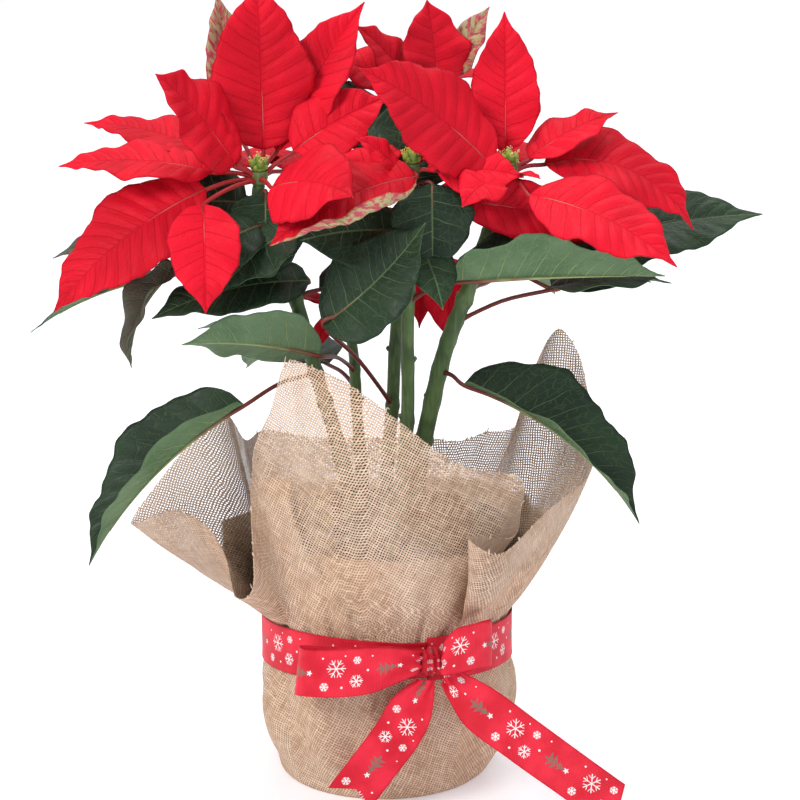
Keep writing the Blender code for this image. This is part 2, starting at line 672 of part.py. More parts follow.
def cyathia(name, group):
    """The bloom's true flowers: a ring of small cups round a middle one, on a short disc."""
    base = Vector(BLOOM_SEATS[name]) + UP * (RECEPTACLE_HEIGHT + TOUCH)
    made = cone("cyathia_" + name, 3.0, 2.0, 5.5, base, group, 6)
    repeats = bpy.data.collections.new("cups_" + name)
    bpy.context.scene.collection.children.link(repeats)
    berry("middle_cup", base + UP * 5.0, BERRY_RADIUS, repeats)
    for i in range(CUPS):
        berry(f"cup_{i}", base + polar(360 * i / CUPS + 20, 3.0, 3.4), BERRY_RADIUS * 0.85, repeats)
    fuse(made, repeats)
    paint(made, "cyathia_yellow_green", YELLOW_GREEN, 0.5)


def main():
    for old in list(bpy.data.objects):
        bpy.data.objects.remove(old)
    group = bpy.data.collections.new("poinsettia")
    cutters = bpy.data.collections.new("cutters")
    bpy.context.scene.collection.children.link(group)
    bpy.context.scene.collection.children.link(cutters)
    pot(group)
    soil(group, cutters)
    hessian_wrap(group)
    ribbon_band(group)
    ribbon_knot(group)
    ribbon_bow(group)
    for name in STEMS:
        leafy_stem(name, group)
    for name in BLOOM_SEATS:
        bloom(name, group)
        cyathia(name, group)


main()
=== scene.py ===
"""Poinsettia wrapped in hessian and tied with a ribbon: the finished look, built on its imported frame."""
import math
import random
from dataclasses import dataclass

import bpy
import numpy as np
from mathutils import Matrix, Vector


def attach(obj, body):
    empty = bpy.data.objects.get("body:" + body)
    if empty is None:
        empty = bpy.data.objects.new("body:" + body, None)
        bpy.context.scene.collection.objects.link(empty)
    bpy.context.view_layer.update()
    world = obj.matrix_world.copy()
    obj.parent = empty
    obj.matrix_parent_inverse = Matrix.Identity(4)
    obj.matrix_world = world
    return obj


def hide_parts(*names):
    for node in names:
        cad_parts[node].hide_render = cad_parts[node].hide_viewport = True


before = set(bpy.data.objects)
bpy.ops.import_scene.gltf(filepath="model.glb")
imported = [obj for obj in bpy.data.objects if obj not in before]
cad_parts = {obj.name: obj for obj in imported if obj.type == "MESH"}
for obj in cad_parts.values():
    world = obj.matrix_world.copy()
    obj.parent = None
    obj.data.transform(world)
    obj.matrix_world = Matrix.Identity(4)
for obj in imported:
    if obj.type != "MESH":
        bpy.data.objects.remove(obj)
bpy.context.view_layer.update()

bl_info = {
    "name": "Wrapped poinsettia",
    "version": (1, 0, 0),
    "blender": (4, 5, 0),
    "location": "3D View > Sidebar > Poinsettia",
    "description": "Builds the leaves, bracts, hessian, ribbon, pot and stage of a potted poinsettia",
    "category": "Object",
}

# Shapes are worked out in millimetres and degrees, and meshes are written in metres
MM = 0.001
UV_MM = 100
SEED = 24

# Pot and soil
POT_FOOT_RADIUS = 46.5
POT_TOP_RADIUS = 62.5
POT_RIM_RADIUS = 66
POT_RIM_DROP = 12
POT_BASE_Z = 1.5
POT_TOP_Z = 134
POT_WALL = 1.6
POT_SLOPE = (POT_TOP_RADIUS - POT_FOOT_RADIUS) / (POT_TOP_Z - POT_RIM_DROP - POT_BASE_Z)
SOIL_TOP_Z = 122
SOIL_GAP = 0.6
CRUMBS = 420
CRUMB_SIZE = (0.8, 2.3)
PERLITE_SHARE = 0.07

# Hessian wrap
CLOTH = 0.3
CLOTH_FOOT_RADIUS = 55
CLOTH_FOOT_SPREAD = 4
CLOTH_BULGE_RADIUS = 71.5
CLOTH_WAIST_RADIUS = 66.4
CLOTH_WAIST_REACH = 13.5
LOOSE_YARNS = 150

# Rows of the cloth's points: under the pot, as shares of the way to its foot, then under, behind and
# above the ribbon, with the one behind the ribbon's middle; and the columns from rib to rib
FLOOR_SHARES = (0.02, 0.2, 0.4, 0.6, 0.8, 0.93)
SKIRT_ROWS = 24
BAND_ROWS = 5
FREE_ROWS = 46
RIB_COLUMNS = 7
BAND_ROW = len(FLOOR_SHARES) + SKIRT_ROWS + BAND_ROWS // 2

# Where the left flap overlaps the front one: heights, and angles at them, then the lip of its edge and
# the part of the cloth that lies double
OVERLAP_Z = (91, 110, 137, 161)
OVERLAP_ANGLE = (261, 251, 236, 231)
OVERLAP_LIFT = 3.2
OVERLAP_EDGE = 1.8
OVERLAP_SWELL = 15
OVERLAP_STARTS = (86, 96)
OVERLAP_ENDS = (186, 166)
DOUBLED_TOP = 178
DOUBLED_FROM = 205

# Ribs, by their angle at the ribbon, that end in the woven selvedge
SELVEDGE = (292, 304)

# How the weave runs on each side of the cloth: angles where the side begins and of its middle, and
# turn of its yarns from upright. The sides' weaves are shifted against each other, and the lengths
# along them are settled in rounds
CLOTH_PANELS = ((3, 37, 12), (73, 110, 4), (150, 190, 20), (221, 250, 28), (305, 330, -42))
PANEL_SHIFT = 0.37
FLAT_ROUNDS = 8

# Distance from the axis, in metres, within which the cloth lies on the pot
LINING_REACH = (0.090, 0.086)

# Ribbon
RIBBON_WIDTH = 25
RIBBON = 0.5
BAND_Z = 74
BAND_RISE = 7
BAND_LEAN = 12
BAND_RADIUS = CLOTH_WAIST_RADIUS + 0.9
KNOT_ANGLE = 288
KNOT_SIZE = (11, 11, 15)
BAND_PRINT_START = 11.0
BOW_PRINT_START = 60.0
# How far each tail's cut runs back: at its middle, and at its upper edge
TAIL_CUTS = {"tail_left": (7, 0.0), "tail_right": (0.0, 10.0)}

# Blades and stalks
BLADE = 0.5
BLADE_TIP = 0.25
VEIN_SLANT = 0.15
VEIN_STAGGER = 0.35
HEM_ROLL = 1.8
STALK_RADIUS = 1.15
RECEPTACLE_RADIUS = 4.6
RECEPTACLE_HEIGHT = 7
# Distance between side veins, rise of the blade between them, and frill of its rim
LEAF_RELIEF = {"spacing": 9.0, "height": 0.6, "frill": 0.7}
BRACT_RELIEF = {"spacing": 7.5, "height": 1.15, "frill": 0.9}
# Cups round the middle one of a head of true flowers: first heading, distance from the axis,
# height, size and rise
CUP_RINGS = ((20, 3.0, 3.6, 2.0, 62), (66, 3.7, 2.0, 1.25, 48))
CUPS_IN_RING = 4

# Each rib of the cloth above the ribbon: angle at the ribbon, then angle, radius and height at the
# cloth's edge, and how far the rib bows outward on its way
CLOTH_RIBS = [
    (6, 6, 112, 183, 3), (20, 21, 116, 200, 3), (29, 28, 118, 215, 2), (37, 34, 113, 226, 0),
    (45, 41, 109, 204, -2), (52, 47, 107, 168, -2), (60, 56, 98, 162, -1), (70, 64, 89, 157, 1),
    (82, 76, 81, 160, 1), (100, 97, 77, 160, 1), (122, 122, 80, 163, 2), (140, 143, 84, 172, 2),
    (153, 158, 83, 172, -1), (166, 175, 86, 193, -1), (175, 183, 99, 187, 1), (182, 186, 119, 165, 2),
    (188, 190, 137, 142, 3), (196, 203, 121, 157, 3), (203, 210, 108, 151, 2), (208, 212, 99, 135, 1),
    (213, 216, 97, 113, 0), (219, 224, 95, 122, 0), (224, 221, 91, 161, -1), (229, 221, 90, 193, -1),
    (233, 226, 85, 214, 0), (238, 231, 81, 240, 1), (246, 242, 80, 240, 2), (256, 256, 77, 232, 2),
    (269, 274, 76, 214, 2), (281, 293, 78, 193, 1), (288, 306, 81, 184, 0), (294, 321, 89, 177, -1),
    (299, 323, 87, 158, -2), (303, 321, 84, 144, -1), (307, 295, 98, 156, 3), (313, 304, 104, 146, 4),
    (323, 322, 102, 159, 4), (336, 337, 105, 166, 4), (348, 349, 109, 169, 4), (357, 358, 110, 176, 4),
]

# The bow: each row is a point on the ribbon's middle line, then the vector from edge to edge
RIBBON_LOOPS = {
    "loop_left": [
        ((17.5, -74.0, 83), (0, 0, 11)), ((2, -75, 81), (0, 0, 22)), ((-14, -73, 78), (0, 0, 25)),
        ((-32, -69, 77), (0, 0, 25)), ((-43, -67, 77), (1, 0, 25)), ((-46, -71, 77.5), (3, 2, 25)),
        ((-42, -78, 78.5), (3, 4, 24)), ((-26, -83, 80), (1, 6, 24)), ((-8, -84, 82), (0, 5, 23)),
        ((7, -81, 84), (0, 2, 17)),
    ],
    "loop_right": [
        ((30.9, -72.1, 84.5), (0, 0, 12)), ((39, -69.5, 87), (0, 0, 23)), ((48, -67, 90), (0, 0, 25)),
        ((54, -68.5, 92), (0, 0, 25)), ((53, -74, 93), (0, 0, 25)), ((45, -80, 93.5), (0, 0, 25)),
        ((35, -83.5, 92), (1, 2, 24)), ((29, -82, 88), (2, 3, 17)),
    ],
}
RIBBON_TAILS = {
    "tail_left": [
        ((20, -76, 73.9), (10, 2, -1)), ((13, -80, 60), (20, 0, -11)), ((6, -80, 46), (21, 0, -13)),
        ((-5, -80, 30), (21, 0, -13)), ((-20, -82, 10), (21, 0, -13)),
    ],
    "tail_right": [
        ((30.2, -74.2, 76), (3, 1, 10)), ((47, -82, 62), (14, 4, 19)), ((70, -91, 47), (14, 4, 20)),
        ((97, -101, 30), (14, 5, 19)), ((123, -111, 14), (15, 8, 17)),
    ],
}


@dataclass
class Blade:
    """A leaf or bract: its stalk's length, heading and rise, then the blade's own line and section.

    name only labels which one it is in a list; nothing reads it.
    hem is (side, start, angle): the strip of that side beyond start is folded back by angle.
    tone is how far the blade has turned: green in a bract, dry in a leaf."""

    name: str
    stalk: tuple
    heading: float
    rise: float
    length: float
    width: float
    droop: float = 20
    roll: float = 0
    fold: float = 8
    curl: float = 0.1
    wave: float = 1.0
    hem: tuple = None
    tone: float = 0.0


def direction(heading, rise):
    """Unit vector of a heading, turned from +X towards +Y, and a rise above the level."""
    flat = math.cos(math.radians(rise))
    return np.array((
        flat * math.cos(math.radians(heading)),
        flat * math.sin(math.radians(heading)),
        math.sin(math.radians(rise)),
    ))


def polar(angle, radius, z):
    """Points at angles and distances from the pot's axis."""
    turn = np.radians(angle)
    return np.stack(np.broadcast_arrays(radius * np.cos(turn), radius * np.sin(turn), z), -1)


def band_z(angle):
    """Middle of the ribbon's band, pulled up in front where it is tied."""
    return BAND_Z + BAND_RISE * np.cos(np.radians(angle - KNOT_ANGLE + BAND_LEAN))


def unit(vectors):
    """The vectors at length one."""
    return vectors / np.maximum(np.linalg.norm(vectors, axis=-1, keepdims=True), 1e-9)


def smooth_step(value, low, high):
    """Eases from 0 to 1 while the value goes from low to high."""
    t = np.clip((value - low) / (high - low), 0, 1)
    return t * t * (3 - 2 * t)


def catmull(knots, between, closed=False):
    """Points on a smooth line through the knots, with so many steps from one to the next."""
    knots = np.asarray(knots, float)
    count = len(knots)
    made = []
    for i in range(count if closed else count - 1):
        picks = [(i + k) % count if closed else min(max(i + k, 0), count - 1) for k in (-1, 0, 1, 2)]
        before, start, end, after = (knots[p] for p in picks)
        for step in range(between):
            t = step / between
            made.append((
                start * 2
                + (end - before) * t
                + (before * 2 - start * 5 + end * 4 - after) * t ** 2
                + (start * 3 - before - end * 3 + after) * t ** 3
            ) / 2)
    if not closed:
        made.append(knots[-1])
    return np.array(made)


class Skin:
    """Gathers the closed forms of one piece: points, faces, flat coordinates, coats and traits.

    A coat is the place of a face's material in the piece's list. Traits are three values a point:
    its form's own tint, how near the rim it is, and its tone. On the cloth the first one marks the
    selvedge and the last one marks where it lies double."""

    def __init__(self):
        self.points = []
        self.faces = []
        self.flat = []
        self.coats = []
        self.traits = []
        self.count = 0

    def add(self, points, faces, flat, coats, traits):
        self.faces += [tuple(i + self.count for i in face) for face in faces]
        self.coats += coats
        self.points.append(points)
        self.flat.append(flat)
        self.traits.append(traits)
        self.count += len(points)

    def sheet(self, upper, lower, flat, coats, traits, ring=False):
        """A thin closed sheet from its two faces, each a grid of rows by columns."""
        rows, columns = upper.shape[:2]
        size = rows * columns
        wrap = columns if ring else columns - 1
        faces = []
        for r in range(rows - 1):
            for c in range(wrap):
                d = (c + 1) % columns
                a, b = r * columns + c, r * columns + d
                faces.append((a, b, b + columns, a + columns))
        top = len(faces)
        faces += [tuple(i + size for i in reversed(face)) for face in faces]
        ends = [(r * columns + c, r * columns + (c + 1) % columns, r == 0)
                for r in (0, rows - 1) for c in range(wrap)]
        sides = [] if ring else [(r * columns + c, (r + 1) * columns + c, c > 0)
                                 for c in (0, columns - 1) for r in range(rows - 1)]
        for a, b, turned in ends + sides:
            rim = (a, a + size, b + size, b)
            faces.append(rim if turned else rim[::-1])
        marks = [coats[0]] * top + [coats[1]] * (len(faces) - top)
        both = np.concatenate([upper.reshape(-1, 3), lower.reshape(-1, 3)])
        self.add(both, faces, np.tile(flat.reshape(-1, 2), (2, 1)), marks,
                 np.tile(traits.reshape(-1, 3), (2, 1)))

    def tube(self, rings, coat, tint=0.0, tone=None):
        """A closed tube from rings of points, with flat coordinates along it and round it."""
        rows, columns = rings.shape[:2]
        faces = []
        for r in range(rows - 1):
            for c in range(columns):
                d = (c + 1) % columns
                faces.append((r * columns + c, r * columns + d, (r + 1) * columns + d,
                              (r + 1) * columns + c))
        faces.append(tuple(reversed(range(columns))))
        faces.append(tuple((rows - 1) * columns + c for c in range(columns)))
        steps = np.linalg.norm(np.diff(rings.mean(axis=1), axis=0), axis=1)
        along = np.concatenate([[0], np.cumsum(steps)]) / UV_MM
        flat = np.zeros((rows, columns, 2))
        flat[..., 0] = along[:, None]
        flat[..., 1] = np.linspace(0, 1, columns)[None, :]
        traits = np.zeros((rows, columns, 3))
        traits[..., 0] = tint
        traits[..., 2] = 0 if tone is None else np.asarray(tone)[:, None]
        self.add(rings.reshape(-1, 3), faces, flat.reshape(-1, 2), [coat] * len(faces),
                 traits.reshape(-1, 3))

    def piece(self, name, materials):
        """The mesh object of all that was gathered."""
        mesh = bpy.data.meshes.new(name)
        mesh.from_pydata(np.concatenate(self.points) * MM, [], self.faces)
        flat = np.concatenate(self.flat)
        corners = np.empty(len(mesh.loops), np.int32)
        mesh.loops.foreach_get("vertex_index", corners)
        layer = mesh.uv_layers.new(name="Flat")
        layer.uv.foreach_set("vector", flat[corners].ravel().astype(np.float32))
        traits = mesh.attributes.new("traits", "FLOAT_VECTOR", "POINT")
        traits.data.foreach_set("vector", np.concatenate(self.traits).ravel().astype(np.float32))
        mesh.polygons.foreach_set("material_index", np.array(self.coats, np.int32))
        mesh.polygons.foreach_set("use_smooth", np.ones(len(mesh.polygons), bool))
        for material in materials:
            mesh.materials.append(material)
        mesh.validate()
        mesh.update()
        made = bpy.data.objects.new(name, mesh)
        bpy.context.scene.collection.objects.link(made)
        return made


def tube_rings(path, radii, sides):
    """Rings round a path, carried along it without twisting."""
    path = np.asarray(path, float)
    tangents = unit(np.gradient(path, axis=0))
    first = np.cross(tangents[0], (0.31, 0.92, 0.22))
    normal = unit(first - tangents[0] * np.dot(first, tangents[0]))
    turns = np.linspace(0, math.tau, sides, endpoint=False)
    rings = []
    for point, tangent, radius in zip(path, tangents, np.broadcast_to(radii, len(path))):
        normal = unit(normal - tangent * np.dot(normal, tangent))
        other = np.cross(tangent, normal)
        rings.append(point + radius * (np.cos(turns)[:, None] * normal + np.sin(turns)[:, None] * other))
    return np.array(rings)


def ball_rings(centre, radius, axis=(0, 0, 1), stretch=1.0, rings=7, sides=10):
    """Rings of a rounded form about an axis, stretched along it."""
    axis = unit(np.asarray(axis, float))
    turns = np.radians(np.linspace(4, 176, rings))
    path = np.asarray(centre) - np.cos(turns)[:, None] * axis * radius * stretch
    side = unit(np.cross(axis, (0.3, 0.9, 0.28)))
    other = np.cross(axis, side)
    spin = np.linspace(0, math.tau, sides, endpoint=False)
    wheel = np.cos(spin)[:, None] * side + np.sin(spin)[:, None] * other
    return path[:, None, :] + (np.sin(turns) * radius)[:, None, None] * wheel[None]


def ripple(points, size, seed=0.0):
    """Smooth unevenness in -1..1 from a few crossing waves, the same on each run."""
    x, y, z = (points[..., k] / size + seed for k in range(3))
    total = np.sin(1.7 * x + 1.3 * np.sin(1.1 * y + 0.4)) + np.sin(1.9 * y + 1.2 * np.sin(1.3 * z + 1.7))
    return (total + np.sin(1.6 * z + 1.4 * np.sin(1.2 * x + 2.9)) + np.sin(2.3 * (x + y - z))) / 4


def face_normals(grid, ring=False):
    """Normals of a grid of points, from its own rows and columns."""
    down = np.gradient(grid, axis=0)
    if ring:
        over = (np.roll(grid, -1, axis=1) - np.roll(grid, 1, axis=1)) / 2
    else:
        over = np.gradient(grid, axis=1)
    return unit(np.cross(over, down))


def blade_line(blade, start, station):
    """Point, tangent, side and face direction of the blade's midrib at each station."""
    rise, droop = math.radians(blade.rise), math.radians(blade.droop)
    here = rise - droop * station
    out = (math.sin(rise) - np.sin(here)) / droop * blade.length
    lift = (np.cos(here) - math.cos(rise)) / droop * blade.length
    ahead = direction(blade.heading, 0)
    point = start + out[..., None] * ahead + lift[..., None] * np.array((0, 0, 1.0))
    tangent = np.cos(here)[..., None] * ahead + np.sin(here)[..., None] * np.array((0, 0, 1.0))
    side = np.broadcast_to(direction(blade.heading - 90, 0), tangent.shape)
    face = np.cross(side, tangent)
    roll = math.radians(blade.roll)
    return (point, tangent, side * math.cos(roll) + face * math.sin(roll),
            face * math.cos(roll) - side * math.sin(roll))


def half_width(blade, station):
    """Egg-shaped outline, widest at 0.38 of its length, drawn out to a slender point."""
    base, tip = 0.64, 1.05
    widest = base / (base + tip)
    peak = widest ** base * (1 - widest) ** tip
    slender = 1 - 0.45 * smooth_step(station, 0.80, 0.97)
    return blade.width / 2 * station ** base * (1 - station) ** tip / peak * slender + BLADE_TIP


def turned_back(x, y, width, reach, sign, hem):
    """Carries the strip beyond the hem's start round a small roll and back over the blade."""
    side, start, angle = hem
    turn = math.radians(angle)
    extra = np.maximum(reach - start, 0) * width * (sign == side)
    bent = np.minimum(extra / HEM_ROLL, turn)
    straight = np.maximum(extra - HEM_ROLL * turn, 0)
    dx = HEM_ROLL * np.sin(bent) + straight * math.cos(turn)
    dy = HEM_ROLL * (1 - np.cos(bent)) + straight * math.sin(turn)
    return x - sign * extra + sign * dx, y + dy


def blade_section(blade, s, v, station, tint, relief):
    """Half width at each point of the blade, and the point's place aside of the midrib and above it."""
    reach, sign = np.abs(v), np.where(v < 0, -1, 1)
    vein = s * blade.length / relief["spacing"] + VEIN_STAGGER * (v > 0)
    lobes = 1 + 0.035 * np.sin(math.tau * (2.6 * station + 0.37 * sign + tint)) * reach ** 4
    lobes += 0.02 * np.sin(math.tau * vein) * reach ** 6
    width = half_width(blade, station) * lobes
    fold = math.radians(blade.fold)
    x = v * width * math.cos(fold)
    wave = np.sin(math.tau * 2.4 * station + np.where(v > 0, 1.1, 2.9))
    y = reach * width * math.sin(fold) - blade.curl * width * reach ** 2
    y += blade.wave * wave * reach ** 1.5 * np.minimum(1, width / 8)
    if blade.hem:
        x, y = turned_back(x, y, width, reach, sign, blade.hem)
    inner = np.minimum(1, width / 10)
    y += relief["height"] * (0.5 - 0.5 * np.cos(math.tau * vein)) * 4 * reach * (1 - reach) * inner
    y += relief["frill"] * np.sin(math.tau * (vein * 0.5 + tint * 3 + 0.25 * sign)) * reach ** 3 * inner
    y += 0.5 * ripple(np.stack([s * 9, v * 3, s * 0 + tint * 7], -1), 1.6) * reach * inner
    return width, x, y


def blade_tone(blade, s, v):
    """How far each point of the blade has turned: all over, at the tip only, or on a folded hem."""
    reach, sign = np.abs(v), np.where(v < 0, -1, 1)
    tone = blade.tone * np.ones_like(s)
    if blade.tone > 1:
        tone = np.clip((blade.tone - 1) * 3 * (s - 0.45) + 0.4 * reach * s, 0, 1)
    if blade.hem:
        tone = np.where((sign == blade.hem[0]) & (reach > blade.hem[1]), 0.85, tone)
    return tone


def add_stalk(skin, blade, root, start, coat, tint):
    """The blade's stalk, which runs on as the raised midrib underneath."""
    reach_out, heading, rise = blade.stalk
    ridge_at = np.array((0.0, 0.12, 0.25, 0.4, 0.55, 0.7, 0.82))
    ridge, _, _, under = blade_line(blade, start, ridge_at)
    ridge = ridge - under * np.linspace(1.0, 0.3, len(ridge_at))[:, None]
    sag = direction(heading, rise - 90) * reach_out * 0.05
    path = catmull(np.concatenate([[root, (root + start) / 2 - sag * np.array((0, 0, 1))], ridge]), 5)
    lengths = np.linspace(0, 1, len(path))
    radius = STALK_RADIUS * (1 - 0.82 * smooth_step(lengths, 0.25, 1))
    radius *= 1 + 0.7 * np.exp(-(np.linalg.norm(path - root, axis=1) / 5) ** 2)
    skin.tube(tube_rings(path, radius * min(1, 0.55 + blade.length / 120), 8), coat, tint, lengths)


def add_blade(skin, blade, root, tint, relief):
    """One leaf or bract on its stalk, in coats 0 to 2: rows of its grid run along the side veins."""
    reach_out, heading, rise = blade.stalk
    start = root + direction(heading, rise) * reach_out
    rows = max(18, int(blade.length / 1.7))
    columns = 21 if blade.width > 30 else 13
    s, v = np.meshgrid(np.linspace(0, 1, rows), np.linspace(-1, 1, columns), indexing="ij")
    reach = np.abs(v)
    station = s + VEIN_SLANT * reach * 4 * s * (1 - s)
    point, _, side, face = blade_line(blade, start, station)
    width, x, y = blade_section(blade, s, v, station, tint, relief)
    middle = point + side * x[..., None] + face * y[..., None]
    normals = face_normals(middle)
    thick = BLADE * (0.55 + 0.45 * np.sqrt(np.maximum(0, 1 - reach ** 4)))
    groove = 0.35 * np.exp(-(v * width / 1.1) ** 2) * (1 - s)
    upper = middle + normals * (thick / 2 - groove)[..., None]
    lower = middle - normals * (thick / 2)[..., None]
    flat = np.stack([s * blade.length / UV_MM, v * width / UV_MM], -1)
    traits = np.stack([tint * np.ones_like(s), reach, blade_tone(blade, s, v)], -1)
    skin.sheet(upper, lower, flat, (0, 1), traits)
    add_stalk(skin, blade, root, start, 2, tint)


# Stems: each line is listed from its hole in the soil to its bloom
STEMS = {
    "left": [(-15, -3, 98), (-15, -3, 124), (-19, -5, 150), (-27, -7, 185), (-37, -12, 221),
             (-45, -16, 254), (-56, -21, 292), (-65, -25, 317), (-65, -25, 324)],
    "low_left": [(-12, 13, 98), (-12, 13, 124), (-13, 14, 152), (-16, 18, 190), (-18, 22, 224),
                 (-22, 25, 238), (-22, 25, 244)],
    "back": [(1, 12, 98), (1, 12, 124), (0, 12, 160), (3, 15, 196), (5, 21, 236), (11, 32, 290),
             (20, 45, 349), (20, 45, 356)],
    "centre": [(3, -9, 98), (3, -9, 124), (8, -11, 160), (11, -14, 200), (11, -20, 247),
               (12, -28, 296), (13, -35, 323), (13, -35, 330)],
    "right": [(15, 1, 98), (15, 1, 124), (16, -2, 160), (23, -9, 200), (31, -13, 235),
              (43, -15, 268), (53, -17, 298), (63, -20, 319), (63, -20, 326)],
}
SIDE_SHOOTS = {
    "back": [(6, 23, 245), (18, 34, 256), (29, 38, 264), (30, 38, 270), (30, 38, 275.7)],
}
SHOOT_RADIUS = 2.2
STEM_RADII = {"left": (4.6, 3.1), "low_left": (3.6, 2.6), "back": (3.8, 2.8), "centre": (3.9, 3.0),
              "right": (5.2, 3.4)}
BARK_FOOT = 118
BARK_TOP = 210

# Cut stubs and old leaf scars on the bare part of each stem: height, heading
STUBS = {
    "left": [(172, 20), (205, 190), (240, 60)],
    "low_left": [(170, 200), (196, 330)],
    "back": [(172, 10), (224, 180), (262, 20)],
    "centre": [(165, 15), (196, 200), (228, 350), (270, 170)],
    "right": [(158, 200), (183, 12), (206, 190), (240, 20), (262, 200)],
}

# Leaves of each stem: height of the root on the stem, then the blade
LEAVES = {
    "left": [
        (221, Blade("lower_left", (56, 230, -5), 196, -27, 116, 52, 34, 8, 48, 0.0, 1.5)),
        (283, Blade("long_dark", (22, 312, -18), 192, 4, 84, 44, 30, 24, 10, 0.1, 1.5)),
        (299, Blade("under_heart", (20, 306, 16), 206, -21, 50, 38, 30, 26, 10, 0.1, 1.5)),
        (283, Blade("far_left", (41, 158, -12), 171, -3, 108, 42, 35, -6, 12, 0.1, 2.0)),
        (290, Blade("withered", (52, 188, -8), 191, -34, 62, 28, 60, 20, 40, 0.2, 3.0, tone=0.8)),
        (303, Blade("inner_dark", (14, 250, 10), 216, -8, 48, 36, 35, 30, 10, 0.1, 1.5)),
        (303, Blade("black_tip", (32, 166, -3), 167, -2, 90, 46, 25, 8, 12, 0.1, 1.5, tone=1.5)),
        (235, Blade("grey_under", (21, 142, 12), 163, 12, 46, 28, 25, -20, 10, 0.1, 1.0)),
        (312, Blade("small_dark", (16, 140, 20), 152, 10, 34, 20, 20, 20, 8, 0.1, 1.0)),
        (262, Blade("inner_right", (14, 20, 20), 24, 6, 58, 36, 30, -34, 12, 0.1, 1.5)),
        (296, Blade("behind_left", (24, 110, 8), 112, 6, 88, 46, 38, 4, 14, 0.1, 2.0)),
        (318, Blade("heart_front", (8, 300, 30), 268, -80, 48, 42, 10, 0, 8, 0.1, 1.0)),
        (311, Blade("heart_shade", (10, 150, 15), 178, 6, 52, 42, 20, 55, 10, 0.1, 1.0)),
    ],
    "low_left": [
        (214, Blade("pale_under", (58, 252, 22), 195, 18, 74, 46, 20, -48, 16, 0.0, 1.5)),
        (205, Blade("behind_low", (30, 120, 12), 124, 6, 92, 48, 40, 4, 14, 0.1, 2.0)),
    ],
    "back": [
        (196, Blade("big_front", (93, 240, 40), 346, 36, 78, 50, -20, -64, 10, 0.1, 1.0)),
        (349, Blade("shade_left", (24, 222, -10), 208, 20, 50, 44, 20, 46, 10, 0.1, 1.5)),
        (280, Blade("behind_back", (26, 80, 8), 84, 4, 96, 50, 42, 0, 14, 0.1, 2.0)),
        (296, Blade("behind_high", (24, 152, 4), 152, -8, 80, 44, 34, 0, 14, 0.1, 2.0)),
    ],
    "centre": [
        (262, Blade("pale_right", (28, 330, 29), 356, 5, 110, 60, 5, 0, 56, 0.0, 1.5)),
        (290, Blade("inner_right", (16, 292, 30), 293, -30, 42, 27, 30, 0, 10, 0.1, 1.0)),
        (300, Blade("heart_left", (8, 200, 12), 190, 6, 50, 42, 20, 58, 10, 0.1, 1.0)),
        (326, Blade("heart_front", (13, 322, 12), 276, -78, 46, 42, 10, 0, 8, 0.1, 1.0)),
        (318, Blade("heart_shade", (10, 80, 20), 88, 72, 54, 56, 10, 0, 8, 0.1, 1.0)),
    ],
    "right": [
        (222, Blade("lower_right", (22, 304, -5), 348, -16, 119, 56, 42, -18, 40, 0.0, 1.5)),
        (298, Blade("far_right", (47, 33, -20), 7, 18, 111, 50, 18, -36, 10, 0.1, 1.5)),
        (249, Blade("curled_right", (52, 353, 22), 356, 16, 64, 38, 25, -6, 12, 0.1, 2.0)),
        (281, Blade("dark_right", (42, 9, -20), 25, 12, 60, 36, 30, -10, 10, 0.1, 1.5)),
        (262, Blade("behind_right", (28, 66, 6), 62, 4, 92, 48, 40, 0, 14, 0.1, 2.0)),
    ],
}

